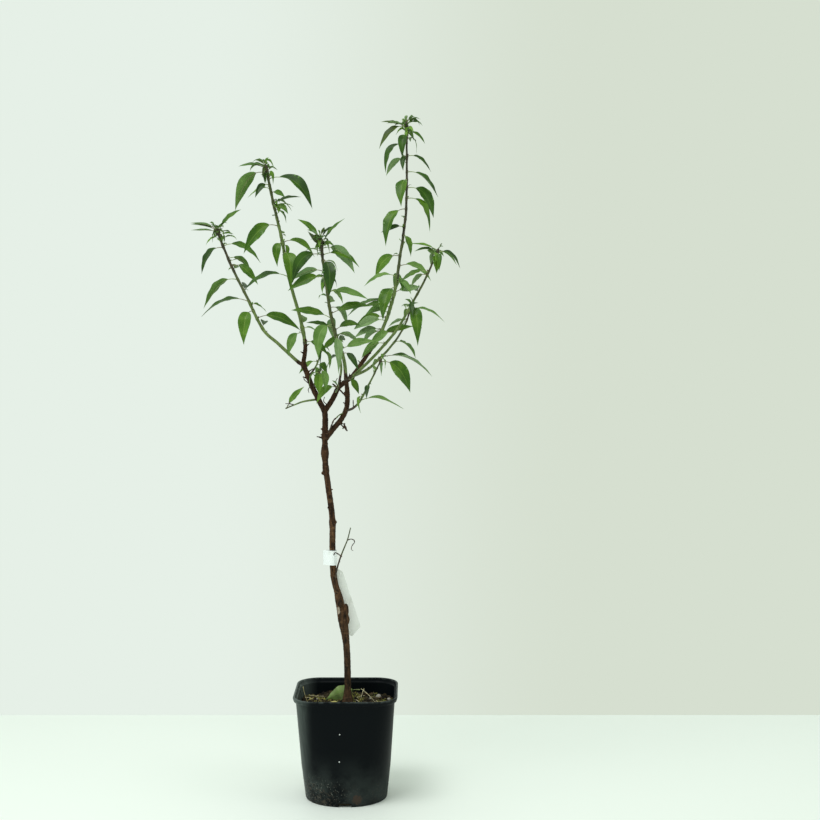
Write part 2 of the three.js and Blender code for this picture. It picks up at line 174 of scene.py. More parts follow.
def ramp(paint, value, low, high, lowest=0, highest=1):
    inputs = {"Value": value, "From Min": low, "From Max": high, "To Min": lowest, "To Max": highest}
    return addNode(paint, "ShaderNodeMapRange", inputs, interpolation_type="SMOOTHSTEP")


def reckon(paint, operation, *values):
    return addNode(paint, "ShaderNodeMath", dict(enumerate(values)), operation=operation)


def times(paint, first, second):
    return reckon(paint, "MULTIPLY", first, second)


def blended(paint, share, *colours):
    first, second = (tint(*colour) if isinstance(colour, tuple) else colour for colour in colours)
    return addNode(paint, "ShaderNodeMix", {0: share, 6: first, 7: second}, 2, data_type="RGBA")


def bumpOf(paint, height, strength, distance):
    inputs = {"Height": height, "Strength": strength, "Distance": distance}
    wire(paint, "Normal", addNode(paint, "ShaderNodeBump", inputs))


def partOf(paint, vector, axis):
    return addNode(paint, "ShaderNodeSeparateXYZ", {"Vector": vector}, "XYZ".index(axis))


def paintPot():
    # the pale grey is the colour of dust, and on the left edge also of a painted sheen
    black, dustAndSheenGrey, mud = (8, 13, 16), (92, 102, 98), (74, 68, 60)
    paint = newPaint("potPlastic", black, 0.42, Specular_IOR_Level=0.06)
    place = placeOf(paint)
    x, z = partOf(paint, place, "X"), partOf(paint, place, "Z")
    streaks = ramp(paint, cloudOf(paint, 90, 5, (1, 1, 0.12)), 0.35, 0.75, 0.5, 1)
    # the left edge is lightened by dust and by a painted sheen, light from the left painted into the colour
    leftDustAndSheen = times(paint, ramp(paint, x, -0.05, -0.078), streaks)
    withLeftDustAndSheen = blended(paint, times(paint, leftDustAndSheen, 0.9), black, dustAndSheenGrey)
    lowDust = times(paint, ramp(paint, cloudOf(paint, 20, 6), 0.36, 0.66), ramp(paint, z, 0.095, 0.0))
    toLeft = ramp(paint, x, 0.03, -0.06, 0.26, 0.5)
    film = blended(paint, times(paint, lowDust, toLeft), withLeftDustAndSheen, dustAndSheenGrey)
    # the top of the lip is lightened in mottled patches: a painted highlight along the rim, with scuffs
    lip = times(paint, ramp(paint, z, 0.1715, 0.1745), ramp(paint, cloudOf(paint, 160, 4), 0.3, 0.7))
    lipHighlightedAndScuffed = blended(paint, times(paint, lip, 0.3), film, (108, 118, 116))
    splashes = times(paint, ramp(paint, cloudOf(paint, 240, 6), 0.5, 0.58), ramp(paint, z, 0.052, 0.012))
    blotches = ramp(paint, cloudOf(paint, 46, 4), 0.34, 0.5)
    splashes = times(paint, times(paint, splashes, blotches), ramp(paint, x, -0.005, -0.045, 0.15, 1))
    apart = addNode(paint, "ShaderNodeVectorMath", {0: place, 1: (0.0195, -0.068, 0.0125)}, "Value",
                    operation="DISTANCE")
    ragged = reckon(paint, "MULTIPLY_ADD", cloudOf(paint, 190, 4), -0.011, apart)
    mottled = ramp(paint, cloudOf(paint, 260, 4), 0.36, 0.52, 0.4, 1)
    patch = times(paint, ramp(paint, ragged, 0.0035, 0.001), mottled)
    muddy = blended(paint, splashes, lipHighlightedAndScuffed, mud)
    low = times(paint, ramp(paint, z, 0.06, 0.02), ramp(paint, x, 0.02, -0.04, 0.1, 1))
    pits = times(paint, ramp(paint, cloudOf(paint, 330, 3), 0.56, 0.62), low)
    muddy = blended(paint, pits, muddy, (12, 13, 13))
    grit = times(paint, ramp(paint, cloudOf(paint, 410, 2), 0.64, 0.7), low)
    muddy = blended(paint, grit, muddy, (132, 136, 128))
    wire(paint, "Base Color", blended(paint, patch, muddy, (66, 56, 49)))
    wire(paint, "Roughness", ramp(paint, lowDust, 0, 1, 0.4, 0.7))
    bumpOf(paint, cloudOf(paint, 420, 4), 0.1, 0.0005)
    return paint


def paintPotWhiteDots():
    paint = newPaint("potWhiteDots", (206, 212, 208), 0.6)
    bumpOf(paint, cloudOf(paint, 900), 0.2, 0.0004)
    return paint


def paintSoil(name, dark, light):
    paint = newPaint(name, dark, 0.95, Specular_IOR_Level=0.2)
    grains = cloudOf(paint, 420, 8, roughness=0.7)
    wire(paint, "Base Color", blended(paint, ramp(paint, grains, 0.4, 0.7), dark, light))
    bumpOf(paint, grains, 0.7, 0.0015)
    return paint


def paintBark():
    paint = newPaint("bark", (74, 52, 36), 0.8, Specular_IOR_Level=0.15)
    z = partOf(paint, placeOf(paint), "Z")
    grain = cloudOf(paint, 260, 8, (1, 1, 0.22), 0.65)
    patches = cloudOf(paint, 70, 5, (1, 1, 0.5))
    bands = ramp(paint, cloudOf(paint, 330, 3, (0.3, 0.3, 1)), 0.58, 0.66)
    brown = blended(paint, ramp(paint, grain, 0.4, 0.64), (32, 22, 15), (92, 64, 42))
    tan = blended(paint, ramp(paint, patches, 0.5, 0.68, 0, 0.4), brown, (124, 92, 62))
    lined = blended(paint, times(paint, bands, 0.4), tan, (140, 108, 78))
    # darker and greyer towards the soil: painted shade on the lower trunk
    shadedLow = blended(paint, ramp(paint, z, 0.4, 0.2, 0, 0.45), lined, (44, 38, 29))
    young = ramp(paint, z, 0.36, 0.62, 0, 0.62)
    wire(paint, "Base Color", blended(paint, young, shadedLow, (46, 29, 17)))
    bumpOf(paint, grain, 0.6, 0.0009)
    return paint


def paintCallus():
    paint = newPaint("callus", (168, 150, 130), 0.8)
    grain = cloudOf(paint, 300, 5, (1, 1, 0.3))
    wire(paint, "Base Color", blended(paint, grain, (120, 98, 80), (196, 182, 164)))
    bumpOf(paint, grain, 0.5, 0.0008)
    return paint


def paintLeaf(name, dark, light, roughness, veinDepth, rib=None):
    paint = newPaint(name, dark, roughness, Specular_IOR_Level=0.25)
    own = addNode(paint, "ShaderNodeUVMap", {}, uv_map="leaf")
    off = reckon(paint, "ABSOLUTE", reckon(paint, "SUBTRACT", partOf(paint, own, "X"), 0.5))
    swept = reckon(paint, "MULTIPLY_ADD", off, -0.45, partOf(paint, own, "Y"))
    veins = reckon(paint, "SINE", times(paint, swept, 75))
    blade = blended(paint, ramp(paint, cloudOf(paint, 38, 3), 0.38, 0.66), dark, light)
    blade = blended(paint, ramp(paint, veins, 0.3, 1, 0, 0.22), blade, light)
    wire(paint, "Base Color", blended(paint, ramp(paint, off, 0.05, 0.01, 0, 0.5), blade, rib or light))
    bumpOf(paint, ramp(paint, veins, 0.4, 1), veinDepth, 0.0004)
    return paint


def paintStem(name, dark, light):
    paint = newPaint(name, dark, 0.55, Specular_IOR_Level=0.4)
    streaks = cloudOf(paint, 300, 4, (1, 1, 0.2))
    wire(paint, "Base Color", blended(paint, ramp(paint, streaks, 0.35, 0.7), dark, light))
    bumpOf(paint, cloudOf(paint, 800), 0.25, 0.0004)
    return paint


def paintLabel(name, clean, grubby):
    paint = newPaint(name, clean, 0.45)
    grubbiness = ramp(paint, cloudOf(paint, 60, 5), 0.5, 0.78, 0, 0.4)
    wire(paint, "Base Color", blended(paint, grubbiness, clean, grubby))
    bumpOf(paint, cloudOf(paint, 240), 0.1, 0.0006)
    return paint


# Studio: camera, floor, pale surroundings and soft lamps

studio = {
    "camera": {"place": (104, -2456, 785), "tiltDown": 3.555, "lens": 66.85, "sensor": 36},
    "floor": {"side": 4000, "front": -5000, "back": 498, "colour": (240, 247, 241)},
    "surroundings": {"behind": (230, 240, 231), "behindRight": (214, 223, 208),
                     "before": (198, 206, 200)},
    "lamps": [
        {"name": "topLamp", "place": (-700, -900, 2500), "aim": (0, 0, 600), "size": 1200, "power": 30},
        {"name": "sideLamp", "place": (1900, -900, 1700), "aim": (0, 0, 600), "size": 900, "power": 5},
    ],
}


def makeCamera(size):
    bpy.ops.object.camera_add(location=metres(size["place"]))
    camera = bpy.context.object
    camera.rotation_euler = (math.radians(90 - size["tiltDown"]), 0, 0)
    camera.data.lens = size["lens"]
    camera.data.sensor_width = size["sensor"]
    bpy.context.scene.camera = camera


def makeFloor(size):
    selectOnly()
    bpy.ops.mesh.primitive_plane_add(size=1)
    floor = bpy.context.object
    floor.name = "floor"
    middle = (size["back"] + size["front"]) / 2
    floor.location = (0, middle * mm, 0)
    floor.scale = (size["side"] * 2 * mm, (size["back"] - size["front"]) * mm, 1)
    floor.data.materials.append(newPaint("floorPaint", size["colour"], 0.6))


def makeSurroundings(size):
    bpy.context.scene.view_settings.view_transform = "Standard"
    world = bpy.data.worlds.new("surroundings")
    bpy.context.scene.world = world
    world.use_nodes = True
    direction = placeOf(world, "Generated")
    aside, depth = partOf(world, direction, "X"), partOf(world, direction, "Y")
    wall = blended(world, ramp(world, aside, -0.14, 0.12), size["behind"], size["behindRight"])
    around = blended(world, ramp(world, depth, -0.7, 0.7), size["before"], wall)
    world.node_tree.links.new(around, world.node_tree.nodes["Background"].inputs["Color"])


def makeLamp(size):
    place = Vector(size["place"]) * mm
    bpy.ops.object.light_add(type="AREA", location=place)
    lamp = bpy.context.object
    lamp.name = size["name"]
    lamp.data.energy = size["power"]
    lamp.data.size = size["size"] * mm
    lamp.rotation_euler = (Vector(size["aim"]) * mm - place).to_track_quat("-Z", "Y").to_euler()


makeCamera(studio["camera"])
makeFloor(studio["floor"])
makeSurroundings(studio["surroundings"])
for lampSize in studio["lamps"]:
    makeLamp(lampSize)
print("studio ready")


# Pot: circles pressed towards rounded squares, extruded ring by ring

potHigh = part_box("pot")[1]
pot = {
    "around": 160,
    "height": potHigh.z / mm,
    "rimHalf": potHigh.x / mm,
    "footHalf": 65,
    "bodyFootHalf": 66.6,
    "waistHalf": 72.5,
    "waistHeight": 57,
    "topHalf": 79.5,
    "topHeight": 167,
    "wall": 1.6,
    "floorHeight": 2,
    "lipRadius": 1.7,
    "cornerAtFoot": 0.93,
    "cornerAtRim": 0.44,
    "drain": (16, 21, 12),  # depth, width and height of each of four
    "collarSlot": {"size": (9, 9, 3.6), "along": 30, "level": 171},
    "whiteDots": [(-7.6, 121), (-8.4, 76)],  # place across and height
    "dotRadius": 1.1,
}


def squareReach(angle, corner):  # distance to a rounded square of half width 1
    fromCorner = np.abs(np.mod(angle / (math.pi / 2), 1) - 0.5)
    fromSide = (0.5 - fromCorner) * (math.pi / 2)
    straight = 1 - corner
    along = straight * (np.cos(fromSide) + np.sin(fromSide))
    bend = along + np.sqrt(np.maximum(along ** 2 - 2 * straight ** 2 + corner ** 2, 0))
    return np.where(np.tan(fromSide) <= straight, 1 / np.cos(fromSide), bend)


def pressSquare(points):
    corner = lerp(pot["cornerAtFoot"], pot["cornerAtRim"], points[:, 2] / pot["height"])
    reach = squareReach(np.arctan2(points[:, 1], points[:, 0]), corner)
    return points * np.stack([reach, reach, np.ones(len(points))], 1)


def turned(name, profile):
    selectOnly()
    half, height = profile[0]
    bpy.ops.mesh.primitive_circle_add(
        vertices=pot["around"], radius=half * mm, fill_type="NGON", location=(0, 0, height * mm))
    piece = bpy.context.object
    piece.name = name
    bpy.ops.object.transform_apply()
    bpy.ops.object.mode_set(mode="EDIT")
    bpy.ops.mesh.select_all(action="SELECT")
    for nextHalf, nextHeight in profile[1:]:
        rise = (0, 0, (nextHeight - height) * mm)
        bpy.ops.mesh.extrude_region_move(TRANSFORM_OT_translate={"value": rise})
        grow = nextHalf / half
        bpy.ops.transform.resize(value=(grow, grow, 1), center_override=(0, 0, 0))
        half, height = nextHalf, nextHeight
    bpy.ops.mesh.select_all(action="SELECT")
    bpy.ops.mesh.normals_make_consistent(inside=False)
    bpy.ops.object.mode_set(mode="OBJECT")
    movePoints(piece, pressSquare(pointsOf(piece)))
    return piece


def bodyHalf(height):
    if height < pot["waistHeight"]:
        return lerp(pot["bodyFootHalf"], pot["waistHalf"], height / pot["waistHeight"])
    above = (height - pot["waistHeight"]) / (pot["topHeight"] - pot["waistHeight"])
    return lerp(pot["waistHalf"], pot["topHalf"], above)


def potProfile():
    foot, top, rim = pot["footHalf"], pot["topHalf"], pot["rimHalf"]
    outside = [(foot - 0.4, 0), (foot + 0.5, 0.15), (foot + 1.2, 0.7), (foot + 1.6, 1.6), (bodyHalf(4), 4)]
    heights = [9, 14, 20, 28, 38, 48, 57, 66, 78, 92, 106, 120, 134, 148, 158]
    body = [(bodyHalf(height), height) for height in heights]
    step = pot["topHeight"]
    roll = pot["lipRadius"]
    collar = [(top - 0.1, step - 0.7), (top + 0.4, step - 0.1), (rim - 2.2, step + 0.1),
              (rim - 1.4, step + 0.7), (rim - 1, step + 2), (rim - 0.4, step + 4.4)]
    lipMiddle = (rim - roll, pot["height"] - roll)
    lip = [(lipMiddle[0] + roll * math.cos(turn), lipMiddle[1] + roll * math.sin(turn))
           for turn in np.radians(range(0, 181, 22))]
    throat = [(rim - roll * 2 - 0.2, step + 5), (rim - 4, step + 2.5), (top - pot["wall"], step + 0.5)]
    inside = [(half - pot["wall"], height) for half, height in reversed(body)]
    floor = [(foot + 0.4, 4), (foot - 3, pot["floorHeight"])]
    return outside + body + collar + lip + throat + inside[:-1] + floor


def cutWith(piece, cutters):
    cutter = joined("cutter", cutters)
    cut = piece.modifiers.new("cut", "BOOLEAN")
    cut.object = cutter
    cut.solver = "EXACT"
    applyModifiers(piece)
    bpy.data.objects.remove(cutter)


def blockAt(place, size, turn):
    bpy.ops.mesh.primitive_cube_add(size=1, location=metres(place))
    block = bpy.context.object
    block.scale = metres(size)
    bpy.ops.object.transform_apply()
    block.rotation_euler = (0, 0, turn)
    bpy.ops.object.transform_apply()
    return block


def makePot():
    shell = turned("pot_shell", potProfile())
    slot = pot["collarSlot"]
    blocks = [blockAt((pot["footHalf"], 0, 0), pot["drain"], quarter * math.pi / 2) for quarter in range(4)]
    for turn, along in ((0, slot["along"]), (math.pi, -slot["along"])):
        blocks.append(blockAt((pot["rimHalf"], along, slot["level"]), slot["size"], turn))
    cutWith(shell, blocks)
    smoothed(shell, 38, paintPot())
    settle(shell, "pot_plastic", "pot")
    # two small white domes on the pot's front
    knobs = [knobAt((x, -bodyHalf(height), height), [pot["dotRadius"]] * 3) for x, height in pot["whiteDots"]]
    whiteDots = joined("pot_white_dots", knobs)
    whiteDots.data.materials.append(paintPotWhiteDots())
    bpy.ops.object.shade_smooth()
    settle(whiteDots, "pot_plastic")
    print("pot made")


# Joined meshes from arrays: a pile gathers tubes with closed ends, each face with its paint

def newPile():
    return {"points": [], "faces": [], "paints": [], "places": [], "count": 0}


def heapTube(pile, rings, start, end, paints, places=None):
    rows, sides = rings.shape[:2]
    points = np.vstack([rings.reshape(-1, 3), start, end])
    base = pile["count"]
    first, last = base + rows * sides, base + rows * sides + 1
    for side in range(sides):
        beside = (side + 1) % sides
        column = paints if isinstance(paints, int) else paints[side]
        pile["faces"].append((first, base + beside, base + side))
        for row in range(rows - 1):
            near, far = base + row * sides, base + (row + 1) * sides
            pile["faces"].append((near + side, near + beside, far + beside, far + side))
        top = base + (rows - 1) * sides
        pile["faces"].append((last, top + side, top + beside))
        pile["paints"].extend([column] * (rows + 1) if isinstance(column, int) else column)
    pile["points"].append(points)
    if places is not None:
        pile["places"].append(places)
    pile["count"] += len(points)


def makePiled(name, pile, paints, angle=60):
    mesh = bpy.data.meshes.new(name)
    points = np.vstack(pile["points"]) * mm
    mesh.from_pydata(points.tolist(), [], pile["faces"])
    mesh.polygons.foreach_set("material_index", pile["paints"])
    if pile["places"]:
        places = np.vstack(pile["places"])
        corners = np.empty(len(mesh.loops), int)
        mesh.loops.foreach_get("vertex_index", corners)
        mesh.uv_layers.new(name="leaf").data.foreach_set("uv", places[corners].ravel())
    mesh.update()
    piece = bpy.data.objects.new(name, mesh)
    bpy.context.collection.objects.link(piece)
    smoothed(piece, angle, *paints)
    return piece


def ringsAlong(middles, radii, sides):  # rings square to a line, counter-clockwise about it
    ahead = unit(np.gradient(middles, axis=0))
    aside = np.array([0.12, 0.99, 0.05])
    first = unit(aside - ahead * (ahead @ aside)[:, None])
    second = np.cross(ahead, first)
    turns = np.arange(sides) * 2 * math.pi / sides
    rim = first[:, None] * np.cos(turns)[None, :, None] + second[:, None] * np.sin(turns)[None, :, None]
    return middles[:, None] + rim * np.asarray(radii)[:, None, None]


def heapStem(pile, middles, radii, sides, paints):
    middles = np.asarray(middles, float)
    rings = ringsAlong(middles, radii, sides)
    ahead = unit(middles[-1] - middles[-2])
    heapTube(pile, rings, middles[0], middles[-1] + ahead * radii[-1] * 0.7, paints)


def heapBud(pile, root, ahead, length, radius, paint):
    shares = np.array([0.08, 0.35, 0.65, 0.88])
    girths = np.array([0.7, 1, 0.8, 0.35])
    ahead = unit(ahead)
    heapTube(pile, ringsAlong(root + ahead * length * shares[:, None], girths * radius, 6),
             root, root + ahead * length, paint)


# Soil: a filling with a lumpy top, and what lies and grows on it

soil = {
    "level": 152,
    "clearance": 1.1,
    "lump": 2.6,
    "fall": 35,  # this far from the middle the soil is 1 mm lower
    "crumbs": 1500,
    "mossBlades": 4200,
    "litter": 46,
    "straws": 16,
    "laidStraws": [  # line, paint
        (((23.3, 20, 171), (36, 2, 165.5), (47.2, -18, 159)), 0),
        (((28.5, 12, 173), (26, 6, 168), (23.9, 0, 160)), 0),
        (((-72.3, 22, 174), (-69, 4, 168), (-61.4, -20, 157)), 1),
        (((-56, 12, 164), (-48, 8, 159), (-40, 2, 154)), 1),
    ],
    "stones": [  # place from above, size
        (51.5, 46, 4.6), (69.5, 26, 3.4), (57, 6, 2.4), (38, 34, 1.8), (-20, 44, 1.6), (-50, 30, 1.5),
        (12, 50, 1.4), (62, -14, 2.2), (-30, -40, 2.0), (22, -48, 1.8), (-58, -18, 1.5), (46, -40, 1.3),
    ],
}


def soilHeight(x, y):
    reach = math.hypot(x, y)
    lumps = noiseAt(x, y, 0, 0.045) * soil["lump"] * 1.3
    knobs = noiseAt(x, y, 40, 0.16) * soil["lump"] * 0.6
    return soil["level"] - reach / soil["fall"] + (lumps + knobs) * min(1, reach / 20)


def soilReach(angle):
    corner = lerp(pot["cornerAtFoot"], pot["cornerAtRim"], soil["level"] / pot["height"])
    return (bodyHalf(soil["level"]) - pot["wall"] - 2.5) * float(squareReach(np.array(angle), corner))


def soilLeft(place):  # how far the soil goes on past a place
    return soilReach(math.atan2(place[1], place[0])) - math.hypot(place[0], place[1])


def makeSoilBody():
    inset = pot["wall"] + soil["clearance"]
    foot = [(pot["footHalf"] - 3.5, 2.3), (pot["footHalf"] - 0.2, 4.4)]
    side = [(bodyHalf(height) - inset, height) for height in (12, 32, 57, 86, 117, 140, 148)]
    top = [(reach, soil["level"] - reach / soil["fall"]) for reach in range(75, 2, -2)]
    body = turned("soil_body", foot + side + top)
    points = pointsOf(body)
    isTop = points[:, 2] > soil["level"] - 3.5
    points[isTop, 2] = [soilHeight(x, y) for x, y in points[isTop, :2]]
    movePoints(body, points)
    smoothed(body, 60, paintSoil("compost", (32, 28, 19), (76, 64, 42)))
    settle(body, "soil", "soil")


def scattered(random):
    angle = random() * 2 * math.pi
    reach = soilReach(angle) * math.sqrt(random())
    x, y = reach * math.cos(angle), reach * math.sin(angle)
    return np.array([x, y, soilHeight(x, y)])


def unevenness(random, rings):
    return np.array([random() - 0.5 for _ in range(rings.size)]).reshape(rings.shape)


def makeCrumbs():
    random = seeded(71)
    pile = newPile()
    for _ in range(soil["crumbs"]):
        place = scattered(random)
        size = 0.7 + 2.4 * random() ** 3
        lean = np.array([random() - 0.5, random() - 0.5, random() * 0.5])
        axis = unit(lean) * size
        turns = [0.55 + 0.6 * random() for _ in range(3)]
        middles = place + axis * np.array([-0.6, 0, 0.6])[:, None] + [0, 0, size * 0.25]
        rings = ringsAlong(middles, np.array(turns) * size, 5)
        rings += unevenness(random, rings) * size * 0.5
        heapTube(pile, rings, middles[0] - axis * 0.35, middles[2] + axis * 0.35, int(random() * 2.99))
    paints = [
        paintSoil("crumbDark", (22, 18, 15), (52, 42, 32)),
        paintSoil("crumbBrown", (46, 39, 24), (88, 75, 48)),
        paintSoil("crumbBlack", (14, 12, 11), (36, 30, 25)),
    ]
    settle(makePiled("soil_crumbs", pile, paints, 30), "soil", "soil")


def makeMoss():
    random = seeded(29)
    pile = newPile()
    for _ in range(soil["mossBlades"]):
        place = scattered(random)
        if noiseAt(place[0], place[1], 90, 0.05) < -0.06:
            continue
        height = 1.1 + 2.6 * random() ** 2
        lean = np.array([random() - 0.5, random() - 0.5, 0]) * height
        middles = place + np.array([lean * s * s + [0, 0, height * s] for s in (0.05, 0.5, 0.85)])
        heapTube(pile, ringsAlong(middles, [0.5, 0.6, 0.3], 3), place - [0, 0, 0.6],
                 place + lean + [0, 0, height], int(random() * 2.99))
    paints = [
        paintStem("mossYellow", (140, 138, 56), (196, 190, 104)),
        paintStem("mossGreen", (92, 104, 38), (146, 152, 68)),
        paintStem("mossOlive", (92, 84, 40), (140, 126, 74)),
    ]
    settle(makePiled("soil_moss", pile, paints), "soil", "soil")


def makeStraws():
    random = seeded(5)
    pile = newPile()
    for line, paint in soil["laidStraws"]:
        heapStem(pile, curveOf(line)["at"](np.linspace(0, 1, 9)), np.linspace(0.6, 0.3, 9), 5, paint)
    for _ in range(soil["straws"]):
        start = scattered(random)
        turn, length = random() * 2 * math.pi, 8 + 20 * random()
        end = start + np.array([math.cos(turn), math.sin(turn), 0]) * length
        if soilLeft(end) < 0:
            end = start * 0.6
        middle = (start + end) / 2
        lift = [1, 2 + 3 * random(), 1.5 + 4 * random()]
        line = [(p[0], p[1], soilHeight(p[0], p[1]) + rise) for p, rise in zip((start, middle, end), lift)]
        middles = curveOf(line)["at"](np.linspace(0, 1, 7))
        heapStem(pile, middles, np.linspace(0.6, 0.35, 7), 5, int(random() * 1.99))
    paints = [
        paintStem("strawPale", (168, 160, 120), (206, 198, 164)),
        paintStem("strawBrown", (104, 98, 58), (142, 134, 90)),
    ]
    settle(makePiled("soil_straws", pile, paints), "soil", "soil")


def makeStones():
    random = seeded(88)
    pile = newPile()
    for x, y, size in soil["stones"]:
        root = np.array([x, y, soilHeight(x, y) - size * 0.2])
        shares = np.array([0.1, 0.3, 0.6, 0.85])
        middles = root + np.array([0, 0, size * 1.5]) * shares[:, None]
        rings = ringsAlong(middles, np.array([0.75, 1.05, 1, 0.6]) * size, 9)
        rings += unevenness(random, rings) * size * 0.22
        heapTube(pile, rings, root, root + [0, 0, size * 1.55], 0)
    stone = newPaint("stone", (150, 146, 134), 0.8)
    grains = cloudOf(stone, 500, 5)
    wire(stone, "Base Color", blended(stone, grains, (108, 102, 92), (184, 180, 168)))
    settle(makePiled("soil_stones", pile, [stone]), "soil", "soil")


# Lines: a smooth curve through points, read by its share of length

def curveOf(line):
    points = np.array(line, float)
    ends = 2 * points[0] - points[1], 2 * points[-1] - points[-2]
    padded = np.vstack([ends[0], points, ends[1]])
    spans = len(points) - 1

    def raw(t):
        place = np.atleast_1d(t) * spans
        index = np.minimum(place.astype(int), spans - 1)
        w = (place - index)[:, None]
        before, near, far, after = (padded[index + k] for k in range(4))
        leave, arrive = (far - before) / 2, (after - near) / 2
        return (near + leave * w + (3 * (far - near) - 2 * leave - arrive) * w ** 2
                + (2 * (near - far) + leave + arrive) * w ** 3)

    steps = np.linspace(0, 1, 201)
    lengths = np.linalg.norm(np.diff(raw(steps), axis=0), axis=1)
    reached = np.concatenate([[0], np.cumsum(lengths)])

    def at(share):
        target = np.clip(np.atleast_1d(share), 0, 1) * reached[-1]
        return raw(np.interp(target, reached, steps))

    return {"at": at, "length": reached[-1]}


# Limbs and shoots: their lines, radii at both ends, and the shoots' leaves from the foot up. A leaf
# is written as its place in hundredths of the stem, the way it points from above (s is to the front,
# a capital is a broad leaf), its length in centimetres, a mark for its carriage and, where that isn't
# left to chance, its roll in tens of degrees: after a slash with its upper side to the front, after a
# bar with its underside. tones gives those leaves in turn a letter of leafTones, or a dot for chance,
# and tuft is the number of leaves at the tip. stem gives the shares of the stem up to which it is
# woody, green and olive; above them it is brown.

limbs = {
    "trunk": {
        "line": [(2, 0, 152.3), (2, 0, 200), (0, 2, 250), (-7, 3, 298), (-13, 3, 330), (-20, 2, 360),
                 (-22, 0, 405), (-22, -1, 455), (-28, -2, 505), (-33, -1, 545), (-34, 0, 589)],
        "radii": (5.6, 4.6),
    },
    "leader": {"line": [(-34, 0, 589), (-33, 0, 610), (-34, 0, 634)], "radii": (5, 4.6)},
    "left_bough": {
        "line": [(-34, 0, 630), (-42, 0, 646), (-53, 0, 668), (-61, 0, 688), (-68, 0, 706)],
        "radii": (4.6, 4),
    },
    "mid_bough": {
        "line": [(-34, 0, 630), (-21, 5, 650), (-12, 10, 668), (0, 15, 678), (12, 20, 688)],
        "radii": (4.4, 3.8),
    },
    "right_bough": {
        "line": [(-34, 0, 584), (-20, -5, 602), (-6, -12, 619), (2, -19, 636), (4, -26, 652), (4, -32, 666)],
        "radii": (4.6, 3.8),
    },
}

# Where the trunk is thicker: level, how much and over what span
swellings = [(152, 4, 13), (290, 2.6, 26), (322, 1.2, 10), (450, 0.9, 6), (537, 0.9, 5), (563, 2, 9)]

